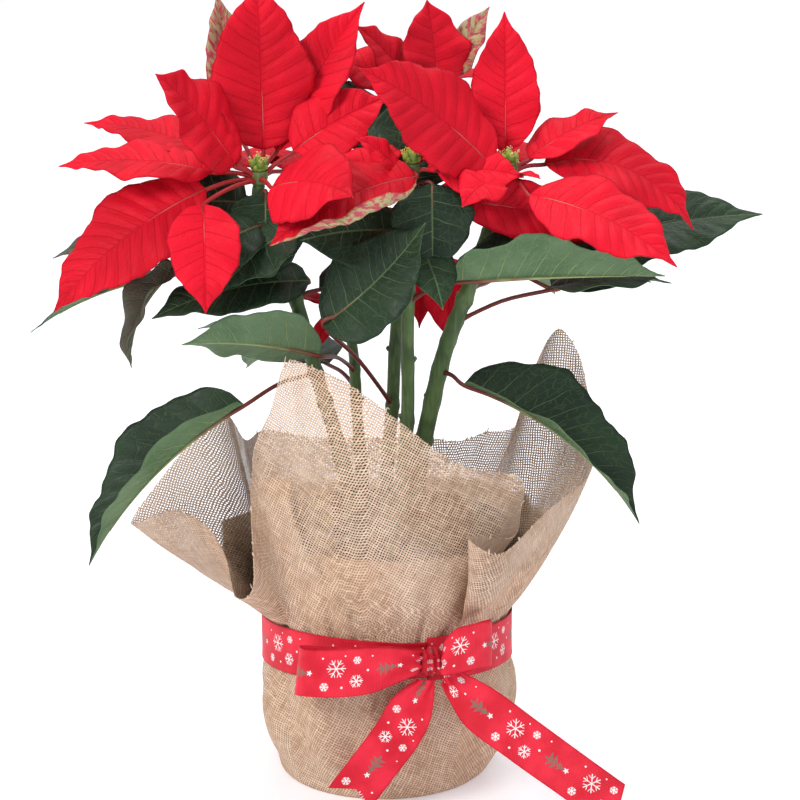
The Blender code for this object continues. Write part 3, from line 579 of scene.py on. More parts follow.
# Blooms: seat of the receptacle, then its bracts
BLOOM_SEATS = {
    "left": (-65, -25, 324.3),
    "centre": (13, -35, 330.3),
    "right": (63, -20, 326.3),
    "back": (20, 45, 356.3),
    "low_left": (-22, 25, 244.3),
    "low_back": (30, 38, 276),
}
BRACTS = {
    "left": [
        Blade("heart", (16, 210, 32), 203, 60, 65, 58, 20, 42, 8, 0.1, 2.0),
        Blade("sliver", (14, 190, 34), 157, 80, 28, 12, 10, 20, 8, 0.1, 0.5),
        Blade("far_left", (25, 197, 13), 179, 14, 79, 44, 25, 15, 8, 0.1, 1.5),
        Blade("behind_left", (23, 143, 20), 159, 22, 83, 40, 25, 12, 8, 0.1, 1.5),
        Blade("big_low", (31, 212, -3), 194, -22, 100, 50, 30, 42, 6, 0.1, 2.0),
        Blade("hanging", (41, 229, -9), 274, -56, 56, 38, 20, 0, 16, 0.1, 2.0),
        Blade("heart_right", (22, 289, 0), 322, 23, 54, 52, 42, -40, 6, 0.2, 2.0),
        Blade("tall", (21, 84, 34), 101, 83, 88, 54, 12, 0, 10, 0.1, 2.0),
        Blade("right", (23, 25, 34), 19, 36, 58, 38, 20, -48, 8, 0.1, 1.5),
        Blade("curled", (26, 70, 24), 28, 60, 90, 42, 10, -42, 26, 0.1, 2.0),
        Blade("green_pink", (40, 112, 30), 118, 76, 72, 28, 8, -6, 10, 0.1, 1.0, tone=0.7),
        Blade("rear", (22, 100, 5), 104, 10, 84, 46, 42, 0, 10, 0.1, 2.0),
        Blade("rear_right", (22, 58, 4), 60, 12, 66, 38, 42, 0, 10, 0.1, 1.5),
    ],
    "centre": [
        Blade("upright", (10, 216, 20), 198, 49, 27, 16, 25, 46, 12, 0.1, 1.0),
        Blade("inner", (12, 163, 5), 177, 12, 32, 20, 15, 34, 10, 0.1, 1.0),
        Blade("shaded", (22, 84, 10), 34, -16, 32, 22, 30, -40, 10, 0.1, 1.5),
        Blade("folded", (12, 280, 0), 199, -5, 84, 54, 33, 28, 6, 0.2, 2.0, hem=(-1, 0.62, 150)),
        Blade("tiny_right", (8, 350, 12), 345, 26, 15, 10, 10, -30, 10, 0.1, 0.5),
        Blade("tiny_rear", (10, 60, 25), 42, 34, 20, 14, 10, -40, 10, 0.1, 0.5),
        Blade("rear", (12, 130, 20), 136, 26, 28, 20, 20, 10, 10, 0.1, 1.0),
        Blade("deep_right", (12, 350, 6), 6, 4, 46, 34, 20, -38, 10, 0.1, 1.5),
    ],
    "right": [
        Blade("wide_left", (14, 220, 26), 200, 47, 89, 54, 20, 58, 6, 0.1, 2.0),
        Blade("tall", (16, 97, 33), 92, 82, 72, 36, 10, 0, 10, 0.1, 2.0),
        Blade("upper_right", (14, 37, 26), 18, 36, 54, 32, 25, -16, 8, 0.1, 1.5),
        Blade("far_right", (22, 33, 8), 357, 15, 92, 46, 78, -30, 8, 0.1, 2.0),
        Blade("big_low", (26, 292, -14), 340, -5, 85, 51, 34, -26, 8, 0.1, 2.0),
        Blade("ridged", (15, 250, 0), 232, 4, 34, 26, 40, 24, 12, 0.1, 2.0),
        Blade("under_left", (14, 200, -18), 198, -22, 36, 26, 30, 30, 10, 0.1, 1.5),
        Blade("under_right", (32, 204, -22), 355, -2, 88, 30, 22, -70, 10, 0.1, 1.5),
        Blade("tiny", (9, 300, 10), 316, 12, 15, 9, 30, 0, 10, 0.1, 0.5),
        Blade("rear", (22, 72, 5), 66, 10, 84, 46, 42, 0, 10, 0.1, 2.0),
    ],
    "back": [
        Blade("top", (10, 330, 30), 118, 78, 46, 40, 10, 0, 10, 0.1, 2.0),
        Blade("top_left", (11, 223, 30), 200, 57, 46, 28, 20, 46, 10, 0.1, 1.5),
        Blade("green_pink", (14, 33, 26), 24, 60, 46, 20, 10, -40, 8, 0.1, 1.0, tone=0.8),
        Blade("dark_left", (14, 184, 22), 190, 30, 42, 30, 20, 40, 8, 0.1, 1.5),
        Blade("rear_right", (18, 60, 8), 58, 12, 80, 44, 45, 0, 10, 0.1, 2.0),
        Blade("rear_left", (18, 118, 8), 122, 14, 80, 44, 45, 0, 10, 0.1, 2.0),
    ],
    "low_left": [
        Blade("low", (10, 235, 0), 236, -30, 26, 12, 30, 0, 10, 0.1, 0.5),
        Blade("side", (10, 150, 10), 150, 10, 30, 18, 30, 0, 10, 0.1, 0.5),
        Blade("rear", (10, 60, 10), 60, 10, 30, 18, 30, 0, 10, 0.1, 0.5),
    ],
    "low_back": [
        Blade("hanging", (11, 281, -20), 272, -55, 46, 28, 20, 0, 10, 0.1, 1.0),
        Blade("narrow", (11, 215, -20), 250, -62, 40, 14, 20, 0, 10, 0.1, 0.5),
        Blade("rear", (12, 100, 0), 104, -10, 44, 28, 40, 0, 10, 0.1, 1.5),
    ],
}


def cloth_rib(rib, level):
    """Point on one rib: 0 at the top of the ribbon, 1 at the cloth's edge."""
    foot_angle, edge_angle, edge_radius, edge_z, bow = rib
    foot = polar(foot_angle, CLOTH_WAIST_RADIUS, band_z(foot_angle) + CLOTH_WAIST_REACH)
    edge = polar(edge_angle, edge_radius, edge_z)
    middle = (foot_angle + edge_angle) / 2
    return foot + (edge - foot) * level + polar(middle, bow * math.sin(math.pi * level), 0)


def gathers(angle, level):
    """Creases of the cloth under the ribbon: deep ones near the tie, long slanting ones below."""
    theta = np.radians(angle)
    broad = np.sin(11 * theta) + 0.6 * np.sin(5 * theta + 0.7)
    slant = np.sin(9 * theta + 2.6 * level + 1.4 * np.sin(3 * theta))
    tight = np.maximum(0, np.cos(31 * theta + 1.7 * np.sin(4 * theta) + 1.2 * level)) ** 2
    room = np.sin(math.pi * np.clip(level, 0, 1))
    return room * (1.1 * broad + 2.4 * slant) - 1.9 * tight * smooth_step(level, 0.45, 0.97)


def cloth_skirt(angle, level):
    """The gathered cloth under the ribbon: 0 at the foot, 1 at the ribbon."""
    foot = CLOTH_FOOT_RADIUS + CLOTH_FOOT_SPREAD * np.cos(np.radians(angle - 240))
    waist_z = band_z(angle) - CLOTH_WAIST_REACH
    bulge = CLOTH_BULGE_RADIUS - CLOTH_WAIST_RADIUS
    radius = foot + (CLOTH_WAIST_RADIUS - foot) * level ** 0.5 + bulge * math.sin(math.pi * level ** 1.3)
    return polar(angle, radius + gathers(angle, level), waist_z * level)


def overlap(grid):
    """Along the slanting overlap of the two flaps: how far the left one stands proud, and where it lies."""
    theta = np.degrees(np.arctan2(grid[..., 1], grid[..., 0])) % 360
    z = grid[..., 2]
    past = np.radians(theta - np.interp(z, OVERLAP_Z, OVERLAP_ANGLE)) * CLOTH_BULGE_RADIUS
    held = smooth_step(z, *OVERLAP_STARTS) * smooth_step(z, *OVERLAP_ENDS)
    swell = np.exp(np.minimum(past, 0) / OVERLAP_SWELL)
    lip = np.where(past < 0, swell, 1 - smooth_step(past, 0, OVERLAP_EDGE))
    doubled = (past < 0.5) & (theta > DOUBLED_FROM) & (z < DOUBLED_TOP)
    return OVERLAP_LIFT * lip * held, doubled.astype(float)


def cloth_grid():
    """Middle surface of the whole cloth, from the middle of its floor to its cut edge."""
    turns = [rib[0] for rib in CLOTH_RIBS]
    count = len(turns)
    between = np.arange(count * RIB_COLUMNS) / RIB_COLUMNS
    angles = np.interp(between, range(count + 1), turns + [turns[0] + 360])
    foot = cloth_skirt(angles, 0)
    rows = [foot * share + (0, 0, CLOTH / 2) for share in FLOOR_SHARES]
    rows += [cloth_skirt(angles, level) + (0, 0, CLOTH / 2) for level in np.linspace(0, 1, SKIRT_ROWS) ** 1.2]
    waist = cloth_skirt(angles, 1)
    tight = gathers(angles, np.ones(len(angles)))
    for share in np.linspace(0, 1, BAND_ROWS + 2)[1:-1]:
        rows.append(waist + np.array((0, 0, 2 * CLOTH_WAIST_REACH * share)))
    free = len(rows) - 1
    for level in np.linspace(0, 1, FREE_ROWS) ** 1.1:
        ring = catmull([cloth_rib(rib, level) for rib in CLOTH_RIBS], RIB_COLUMNS, True)
        ring[:, :2] *= (1 + tight / CLOTH_WAIST_RADIUS * (1 - smooth_step(level, 0, 0.3)))[:, None]
        rows.append(ring)
    grid = np.array(rows)
    above = np.clip((np.arange(len(grid)) - free) / (len(grid) - 1 - free), 0, 1)[:, None]
    theta = np.radians(angles)[None, :]
    creases = np.cos(23 * theta + 1.5 * np.sin(4 * theta) + 2 * above)
    rise = np.sin(math.pi * above ** 0.6)
    push = rise * (0.9 * creases * (1 - above) + 1.3 * ripple(grid, 26, 3.0) + 0.4 * ripple(grid, 9, 1.0))
    below = np.sin(math.pi * np.clip(grid[..., 2] / (BAND_Z - CLOTH_WAIST_REACH), 0, 1)) * (above == 0)
    push = push + below * (2.0 * ripple(grid, 22, 6.0) + 0.6 * ripple(grid, 9, 2.0))
    grid += face_normals(grid, True) * push[..., None]
    proud, doubled = overlap(grid)
    proud, doubled = proud * (above > 0), doubled * (above > 0)
    grid[..., :2] += unit(grid[..., :2]) * proud[..., None]
    return grid, angles, doubled


def squared_off(long, aside):
    """What is left of a length along one way of the cloth when it also runs aside."""
    return np.sqrt(np.maximum(long ** 2 - aside ** 2, (0.5 * long) ** 2))


def cloth_flat(grid, angles, borrowed):
    """Place of each point in the weave, by its own panel or by the panel of the column before it.

    Lengths up the cloth and round it are settled against each other, so that the yarns keep their pitch."""
    count = grid.shape[1]
    columns = np.arange(count)
    steps = np.linalg.norm(np.roll(grid, -1, axis=1) - grid, axis=2)
    rise = np.linalg.norm(np.diff(grid, axis=0), axis=2)
    panels = np.array(CLOTH_PANELS, float)
    away = np.abs((angles[:, None] - panels[None, :, 1] + 180) % 360 - 180)
    belongs = (np.searchsorted(panels[:, 0], angles % 360) - 1) % len(panels)
    if borrowed:
        belongs = np.roll(belongs, 1)
    middle = np.argmin(away, axis=0)[belongs]
    shift = (columns - middle + count // 2) % count - count // 2
    turns = (middle + shift - columns) / count
    upright = rise
    for _ in range(FLAT_ROUNDS):
        climb = np.concatenate([np.zeros((1, count)), np.cumsum(upright, axis=0)])
        climb = climb - climb[BAND_ROW]
        level = squared_off(steps, np.roll(climb, -1, axis=1) - climb)
        run = np.concatenate([np.zeros((len(grid), 1)), np.cumsum(level, axis=1)], axis=1)
        beside = run[:, columns] + turns * run[:, -1:] - run[:, middle]
        upright = (upright + squared_off(rise, np.diff(beside, axis=0))) / 2
    turn = np.radians(panels[belongs, 2])
    flat = np.stack([beside * np.cos(turn) - climb * np.sin(turn),
                     beside * np.sin(turn) + climb * np.cos(turn)], -1)
    return flat / UV_MM + belongs[None, :, None] * PANEL_SHIFT


def hessian_wrap(look):
    """The whole cloth as a thin sheet, and the grid of its middle surface."""
    grid, angles, doubled = cloth_grid()
    own = cloth_flat(grid, angles, False)
    borrowed = cloth_flat(grid, angles, True)
    normals = face_normals(grid, True)
    traits = np.zeros(grid.shape)
    traits[-1, (angles > SELVEDGE[0]) & (angles < SELVEDGE[1]), 0] = 1
    traits[..., 2] = doubled
    skin = Skin()
    skin.sheet(grid + normals * CLOTH / 2, grid - normals * CLOTH / 2, own, (0, 0), traits, ring=True)
    made = skin.piece("hessian_cloth", [finish("woven jute", hessian_cloth, look)])
    columns = grid.shape[1]
    corners = np.array(skin.faces) % (len(grid) * columns)
    column = corners % columns
    first = np.where(np.ptp(column, axis=1) > 1, columns - 1, column.min(axis=1))[:, None]
    own, borrowed = own.reshape(-1, 2)[corners], borrowed.reshape(-1, 2)[corners]
    place = np.where((column != first)[..., None], borrowed, own)
    made.data.uv_layers["Flat"].uv.foreach_set("vector", place.ravel().astype(np.float32))
    return made, grid


def loose_yarns(grid, look):
    """Short ends of yarn that stand out of the cut edge."""
    chance = random.Random(SEED)
    skin = Skin()
    edge, inner = grid[-1], grid[-4]
    for _ in range(LOOSE_YARNS):
        at = chance.randrange(len(edge))
        out = unit(edge[at] - inner[at])
        beside = unit(edge[(at + 1) % len(edge)] - edge[at])
        length = chance.uniform(0.8, 2.6) if chance.random() < 0.9 else chance.uniform(3, 6)
        lean, lift = chance.uniform(-0.9, 0.9), chance.uniform(-0.5, 0.3)
        start = edge[at] + beside * chance.uniform(0, 2) - out * 1.0
        middle = start + (out + beside * lean * 0.4) * length * 0.6
        end = middle + (out * 0.5 + beside * lean + np.array((0, 0, lift))) * length * 0.4
        path = catmull([start, middle, end], 4)
        skin.tube(tube_rings(path, np.linspace(0.42, 0.16, len(path)), 5), 0, chance.random())
    return skin.piece("hessian_loose_yarns", [finish("loose yarn", frayed_yarn, look)])


def ribbon_grid(centre, across, gather, seed):
    """Middle surface of a length of ribbon, pleated where the knot gathers it."""
    columns = 17
    v = np.linspace(-0.5, 0.5, columns)
    grid = centre[:, None, :] + across[:, None, :] * v[None, :, None]
    normals = face_normals(grid)
    pleats = np.cos(math.tau * (2.5 * v[None, :] + 0.3 * np.sin(gather[:, None] * 3 + seed)))
    push = 1.1 * gather[:, None] * pleats + 0.35 * ripple(grid, 17, seed) - 0.25 * (2 * v[None, :]) ** 4
    return grid + normals * push[..., None], v


def ribbon_piece(name, centre, across, gather, start, look, end=None):
    """A length of ribbon; end is how far the cut runs back at its middle and at its upper edge."""
    grid, v = ribbon_grid(centre, across, gather, start)
    steps = np.linalg.norm(np.diff(centre, axis=0), axis=1)
    run = np.concatenate([[0], np.cumsum(steps)])
    along = np.repeat(run[:, None], len(v), 1)
    if end:
        back = end[0] * (1 - np.abs(2 * v)) + end[1] * (v + 0.5)
        share = smooth_step(run, run[-1] - 22, run[-1])[:, None] * back[None, :]
        heading = unit(np.gradient(centre, axis=0))
        grid = grid - heading[:, None, :] * share[..., None]
        along = along - share
    normals = face_normals(grid)
    flat = np.stack([(along + start) / UV_MM, np.repeat(v[None, :], len(grid), 0) * RIBBON_WIDTH / UV_MM], -1)
    traits = np.zeros(grid.shape)
    traits[..., 1] = np.abs(2 * v)[None, :]
    skin = Skin()
    skin.sheet(grid + normals * RIBBON / 2, grid - normals * RIBBON / 2, flat, (0, 0), traits)
    return skin.piece(name, [finish("ribbed ribbon", ribbed_ribbon, look)]), run[-1]


def ribbon_band(look):
    """The ribbon once round the wrap, crumpled where it runs into the knot."""
    turn = np.linspace(0, 360, 181)
    angles = KNOT_ANGLE + turn
    crumple = np.exp(-((turn - 360) / 34) ** 2) + 0.35 * np.exp(-(turn / 14) ** 2)
    centre = polar(angles, BAND_RADIUS + 0.9 * crumple, band_z(angles))
    width = RIBBON_WIDTH - 5 * crumple
    across = np.stack([0 * width, 0 * width, width], -1)
    return ribbon_piece("ribbon_round_pot", centre, across, 0.75 * crumple, BAND_PRINT_START, look)


def ribbon_length(name, rows, look, start, closed, end=None):
    """A loop or a tail of the bow, along its listed rows."""
    knots = np.array([tuple(centre) + tuple(across) for centre, across in rows], float)
    if closed:
        line = catmull(knots, 9, True)
        line = np.concatenate([line, line[:1]])
    else:
        line = catmull(knots, 14)
    centre, across = line[:, :3], line[:, 3:]
    steps = np.linalg.norm(np.diff(centre, axis=0), axis=1)
    run = np.concatenate([[0], np.cumsum(steps)])
    away = np.minimum(run, run[-1] - run) if closed else run
    return ribbon_piece(name, centre, across, np.exp(-(away / 11) ** 1.5), start, look, end)


def ribbon_knot(look):
    """The short length that is wrapped round the middle of the bow and pinches it."""
    width, depth, height = KNOT_SIZE
    middle = polar(KNOT_ANGLE, BAND_RADIUS + RIBBON + 0.6 + depth / 2, band_z(KNOT_ANGLE) + 1)
    along, out, up = direction(KNOT_ANGLE + 90, 0), direction(KNOT_ANGLE, 0), np.array((0, 0, 1.0))
    turns = np.linspace(0, math.tau, 48, endpoint=False)
    rows = np.linspace(-1, 1, 29)
    rings = []
    for row in rows:
        swell = 0.70 + 0.30 * math.cos(row * math.pi / 2) ** 0.7
        pleat = 0.55 * np.cos(math.pi * 3.4 * row + 0.8 * np.sin(turns + 0.4))
        wide = (depth / 2 * swell + pleat)[:, None] * np.cos(turns)[:, None]
        tall = (height / 2 * swell + pleat)[:, None] * np.sin(turns)[:, None]
        rings.append(middle + along * row * width / 2 + wide * out + tall * up)
    skin = Skin()
    skin.tube(np.array(rings), 0)
    flat = skin.flat[0].reshape(len(rows), len(turns), 2)
    flat[..., 0] = np.abs(np.sin(turns / 2))[None, :] * 0.4 + 0.14
    flat[..., 1] = rows[:, None] * 0.12
    return skin.piece("ribbon_bow_knot", [finish("ribbed ribbon", ribbed_ribbon, look)])


def pot_piece(look):
    """Thin moulded pot with a rolled rim, turned about its axis."""
    step = POT_TOP_Z - POT_RIM_DROP
    profile = [(0.4, POT_BASE_Z + 1.2), (30, POT_BASE_Z + 1.0), (34, POT_BASE_Z),
               (POT_FOOT_RADIUS - 2, POT_BASE_Z)]
    for z in np.linspace(POT_BASE_Z + 1.5, step - 1, 14):
        profile.append((POT_FOOT_RADIUS + POT_SLOPE * (z - POT_BASE_Z), z))
    rim = POT_RIM_RADIUS
    profile += [(POT_TOP_RADIUS + 0.4, step), (rim - 1.4, step + 0.4), (rim - 0.4, step + 1.6),
                (rim - 0.2, POT_TOP_Z - 3), (rim, POT_TOP_Z - 1), (rim - 0.8, POT_TOP_Z),
                (rim - 2.0, POT_TOP_Z - 0.4), (rim - 2.4, POT_TOP_Z - 2), (rim - 2.6, step + 3),
                (POT_TOP_RADIUS - POT_WALL, step)]
    for z in np.linspace(step - 4, POT_BASE_Z + 4, 6):
        profile.append((POT_FOOT_RADIUS - POT_WALL + POT_SLOPE * (z - POT_BASE_Z), z))
    profile += [(POT_FOOT_RADIUS - 4, POT_BASE_Z + 2.4), (0.4, POT_BASE_Z + 2.4)]
    turns = np.linspace(0, 360, 96, endpoint=False)
    skin = Skin()
    skin.tube(np.array([polar(turns, radius, z) for radius, z in profile])[::-1], 0)
    return skin.piece("pot_shell", [finish("moulded pot", moulded_pot, look)])


def soil_piece(look):
    """Crumbly compost: an uneven top, a plain body below it, and loose crumbs."""
    turns = np.linspace(0, 360, 72, endpoint=False)
    top = POT_FOOT_RADIUS - POT_WALL - SOIL_GAP + POT_SLOPE * (SOIL_TOP_Z - POT_BASE_Z)
    rows = [polar(turns, top * share, SOIL_TOP_Z - 1.5) for share in np.linspace(0.01, 1, 26)]
    for row in rows[:-1]:
        row[:, 2] += 1.6 * ripple(row, 5.0, 2.0) + 0.9 * ripple(row, 2.1, 5.0)
    rows += [polar(turns, top - POT_SLOPE * drop, SOIL_TOP_Z - drop) for drop in (14, 60, 112)]
    rows.append(polar(turns, POT_FOOT_RADIUS - POT_WALL - 4, POT_BASE_Z + 3.2))
    rows.append(polar(turns, 1, POT_BASE_Z + 3.2))
    skin = Skin()
    skin.tube(np.array(rows), 0)
    chance = random.Random(SEED + 1)
    for _ in range(CRUMBS):
        away = top * 0.97 * math.sqrt(chance.random())
        size = chance.uniform(*CRUMB_SIZE)
        centre = polar(chance.uniform(0, 360), away, SOIL_TOP_Z - 1.0 + size * 0.3)
        axis = (chance.uniform(-1, 1), chance.uniform(-1, 1), chance.uniform(0.1, 1))
        rings = ball_rings(centre, size, axis, chance.uniform(0.6, 1.7), 5, 7)
        rings = rings + 0.25 * size * ripple(rings, 1.3, chance.random() * 9)[..., None]
        skin.tube(rings, 1 if chance.random() < PERLITE_SHARE else 0, chance.random())
    return skin.piece("compost", [
        finish("peat compost", peat_compost, look), finish("perlite", compost_perlite, look)])


def on_stem(name, height):
    """The point on a stem's line at a height."""
    line = np.array(STEMS[name], float)
    return np.array([np.interp(height, line[:, 2], line[:, k]) for k in range(3)])


def stem_tube(skin, name, coat):
    """The bare stem with its cut stubs, thicker at each leaf and at each stub."""
    line = catmull(STEMS[name], 9)
    thick, thin = STEM_RADII[name]
    run = np.concatenate([[0], np.cumsum(np.linalg.norm(np.diff(line, axis=0), axis=1))])
    radii = thick + (thin - thick) * np.clip((run - 25) / (run[-1] - 25), 0, 1)
    heights = [height for height, _ in LEAVES[name]] + [height for height, _ in STUBS[name]]
    for height in heights:
        radii = radii * (1 + 0.16 * np.exp(-((line[:, 2] - height) / 2.2) ** 2))
    radii = radii * (1 + 0.03 * ripple(line, 7, 4.0))
    tone = smooth_step(line[:, 2], BARK_TOP, BARK_FOOT)
    skin.tube(tube_rings(line, radii, 20), coat, 0.5, tone)
    for height, heading in STUBS[name]:
        root = on_stem(name, height)
        out = direction(heading, 35)
        path = root + out * np.array((0, 3.4, 4.6, 5.6))[:, None]
        skin.tube(tube_rings(path, (1.9, 1.7, 1.4, 0.9), 9), coat, 0.9, (0.2, 0.2, 0.6, 1))


def leafy_stem(name, look):
    """A stem with its leaves, and with its side shoot if it has one."""
    skin = Skin()
    stem_tube(skin, name, 3)
    for k, (height, leaf) in enumerate(LEAVES[name]):
        tint = (0.37 * k + 0.13 * len(name)) % 1
        add_blade(skin, leaf, on_stem(name, height), tint, LEAF_RELIEF)
    if name in SIDE_SHOOTS:
        shoot = catmull(SIDE_SHOOTS[name], 6)
        skin.tube(tube_rings(shoot, SHOOT_RADIUS, 12), 3, 0.4, np.zeros(len(shoot)))
    return skin.piece("leafy_stem_" + name, [
        finish("leaf upper side", leaf_upper, look), finish("leaf underside", leaf_under, look),
        finish("leaf stalk", leaf_stalk, look), finish("stem skin", stem_skin, look)])


def bloom(name, look):
    """The red bracts of one head round their receptacle."""
    skin = Skin()
    seat = np.array(BLOOM_SEATS[name], float)
    up = np.array((0, 0, 1.0))
    heights = np.linspace(0, RECEPTACLE_HEIGHT, 7)
    swell = RECEPTACLE_RADIUS * (0.75 + 0.25 * np.sin(heights / RECEPTACLE_HEIGHT * math.pi / 1.4))
    skin.tube(tube_rings(seat + up * heights[:, None], swell, 18), 3, 0.5, heights * 0 + 0.3)
    root = seat + up * RECEPTACLE_HEIGHT * 0.4
    for k, bract in enumerate(BRACTS[name]):
        tint = (0.29 * k + 0.17 * len(name)) % 1
        add_blade(skin, bract, root, tint, BRACT_RELIEF)
    return skin.piece("bracts_" + name, [
        finish("bract upper side", bract_upper, look), finish("bract underside", bract_underside, look),
        finish("bract stalk", bract_stalk, look), finish("stem skin", stem_skin, look)])


def cyathia(name, look):
    """The small true flowers: fleshy cups, the larger ones with a yellow lip and a tuft of filaments."""
    skin = Skin()
    chance = random.Random(SEED + len(name) * 7)
    base = np.array(BLOOM_SEATS[name], float) + (0, 0, RECEPTACLE_HEIGHT + 0.3)
    up = np.array((0, 0, 1.0))
    heights = np.array((0, 1.5, 3.5, 5.2))
    skin.tube(tube_rings(base + up * heights[:, None], (3.4, 3.2, 2.4, 1.2), 14), 0, 0.4)
    cups = [(base + up * 5.0, 2.3, up)]
    for first, away, height, size, rise in CUP_RINGS:
        for heading in np.arange(CUPS_IN_RING) * (360 / CUPS_IN_RING) + first:
            cups.append((base + polar(heading, away, height), size, direction(heading, rise)))
    for centre, size, axis in cups:
        skin.tube(ball_rings(centre, size, axis, 1.25, 9, 12), 0, chance.random())
        top = centre + axis * size * 1.12
        lip = unit(np.cross(axis, (0.2, 0.9, 0.1)))
        if size > 1.5:
            skin.tube(ball_rings(top + lip * size * 0.5, size * 0.42, lip, 0.7, 6, 9), 1, 0.5)
            skin.tube(tube_rings(top + axis * np.array((-0.5, 0.1, 0.25))[:, None],
                                 (size * 0.55, size * 0.5, size * 0.3), 10), 1, 0.9)
            for _ in range(6):
                lean = np.array([chance.uniform(-0.6, 0.6) for _ in range(3)])
                tip = top + unit(axis + lean) * chance.uniform(1.2, 2.4)
                path = catmull([top - axis * 0.3, (top + tip) / 2 + lean * 0.15, tip], 3)
                skin.tube(tube_rings(path, 0.16, 5), 2, chance.random())
                skin.tube(ball_rings(tip, 0.36, axis, 1.0, 4, 6), 3, chance.random())
    return skin.piece("flowers_" + name, [
        finish("flower cup", flower_cup, look), finish("nectar lip", nectar_lip, look),
        finish("filament", flower_filament, look), finish("anther", flower_anther, look)])


class Wiring:
    """Places shader nodes in a tree and links them, so that a recipe reads as sums."""

    def __init__(self, tree):
        self.tree = tree

    def node(self, kind, **settings):
        made = self.tree.nodes.new(kind)
        for name, value in settings.items():
            setattr(made, name, value)
        return made

    def feed(self, socket, value):
        """Links a socket or sets a plain value."""
        if isinstance(value, bpy.types.NodeSocket):
            self.tree.links.new(value, socket)
        elif socket.type == "RGBA" and len(value) == 3:
            socket.default_value = (*value, 1)
        else:
            socket.default_value = value

    def math(self, operation, *values):
        made = self.node("ShaderNodeMath", operation=operation)
        for socket, value in zip(made.inputs, values):
            self.feed(socket, value)
        return made.outputs[0]

    def add(self, *values):
        return self.math("ADD", *values)

    def times(self, *values):
        return self.math("MULTIPLY", *values)

    def less(self, *values):
        return self.math("SUBTRACT", *values)

    def most(self, *values):
        return self.math("MAXIMUM", *values)

    def apart(self, first, second):
        """How far two values lie apart."""
        return self.math("ABSOLUTE", self.less(first, second))

    def around(self, middle, mask, reach):
        """A value that follows an even mask up and down about its middle."""
        return self.add(middle, self.times(self.less(mask, 0.5), reach))

    def step(self, value, low, high, start=0.0, end=1.0):
        """Smooth change from start to end while the value goes from low to high."""
        made = self.node("ShaderNodeMapRange", interpolation_type="SMOOTHSTEP")
        for socket, given in zip(made.inputs, (value, low, high, start, end)):
            self.feed(socket, given)
        return made.outputs[0]

    def mix(self, amount, first, second):
        """The first colour, changed to the second by the amount."""
        made = self.node("ShaderNodeMix", data_type="RGBA")
        for index, value in ((0, amount), (6, first), (7, second)):
            self.feed(made.inputs[index], value)
        return made.outputs[2]

    def noise(self, vector, scale, detail=2.0, roughness=0.5):
        made = self.node("ShaderNodeTexNoise")
        settings = {"Vector": vector, "Scale": scale, "Detail": detail, "Roughness": roughness}
        for name, value in settings.items():
            self.feed(made.inputs[name], value)
        return made.outputs["Fac"]

    def split(self, vector):
        made = self.node("ShaderNodeSeparateXYZ")
        self.feed(made.inputs[0], vector)
        return made.outputs

    def join(self, x, y, z=0.0):
        made = self.node("ShaderNodeCombineXYZ")
        for socket, value in zip(made.inputs, (x, y, z)):
            self.feed(socket, value)
        return made.outputs[0]

    def placed(self, group, **inputs):
        """Outputs of a node group that is set into this tree with its own values."""
        made = self.node("ShaderNodeGroup", node_tree=group)
        for name, value in inputs.items():
            self.feed(made.inputs[name], value)
        return made.outputs

    def bump(self, height, distance, strength):
        made = self.node("ShaderNodeBump")
        for name, value in (("Height", height), ("Distance", distance), ("Strength", strength)):
            self.feed(made.inputs[name], value)
        return made.outputs[0]

    def flat(self):
        """The point's place on the flat cloth, ribbon or blade, in tenths of a metre."""
        return self.node("ShaderNodeUVMap", uv_map="Flat").outputs[0]

    def place(self):
        """The point's place in the object, in metres."""
        return self.node("ShaderNodeTexCoord").outputs["Object"]

    def traits(self):
        """The three traits of the point, as the mesh carries them."""
        made = self.node("ShaderNodeAttribute", attribute_name="traits")
        return self.split(made.outputs["Vector"])


def effect(name, inputs, outputs, recipe):
    """The named node group, wired by its recipe the first time it is asked for."""
    group = bpy.data.node_groups.get(name)
    if group:
        return group
    group = bpy.data.node_groups.new(name, "ShaderNodeTree")
    for label, value in inputs.items():
        kind = "NodeSocketVector" if value is None else "NodeSocketFloat"
        socket = group.interface.new_socket(name=label, in_out="INPUT", socket_type=kind)
        if value is not None:
            socket.default_value = value
    for label in outputs:
        group.interface.new_socket(name=label, in_out="OUTPUT", socket_type="NodeSocketFloat")
    w = Wiring(group)
    made = recipe(w, w.node("NodeGroupInput").outputs)
    ends = w.node("NodeGroupOutput").inputs
    for label, value in zip(outputs, made):
        w.feed(ends[label], value)
    return group


def wire_veins(w, given):
    """Midrib, side veins and fine network of a blade, from its flat place."""
    wobble = w.less(w.noise(given["Flat"], 9.0, 1.0), 0.5)
    x, y, _ = w.split(given["Flat"])
    along, across = w.times(x, UV_MM), w.times(y, UV_MM)
    count = w.math("DIVIDE", along, given["Spacing"])
    count = w.add(count, w.times(w.math("GREATER_THAN", across, 0.0), VEIN_STAGGER))
    count = w.add(count, w.times(wobble, 0.30))
    off = w.apart(w.math("FRACT", w.add(count, 0.5)), 0.5)
    width = w.step(given["Rim"], 0.0, 0.95, 0.060, 0.018)
    main = w.step(off, width, w.times(width, 0.35))
    between = w.apart(w.math("FRACT", count), 0.5)
    faint = w.times(w.step(between, 0.035, 0.010), w.step(given["Rim"], 0.1, 0.7, 0.55, 0.0))
    midrib = w.step(w.math("ABSOLUTE", across), w.step(x, 0.0, 0.9, 0.95, 0.30), 0.25)
    cells = w.node("ShaderNodeTexVoronoi", feature="DISTANCE_TO_EDGE")
    w.feed(cells.inputs["Vector"], w.join(x, w.times(y, 0.75)))
    w.feed(cells.inputs["Scale"], 34.0)
    network = w.step(cells.outputs["Distance"], 0.075, 0.01)
    veins = w.most(main, faint)
    return midrib, veins, network, w.add(w.most(midrib, veins), w.times(network, 0.25))


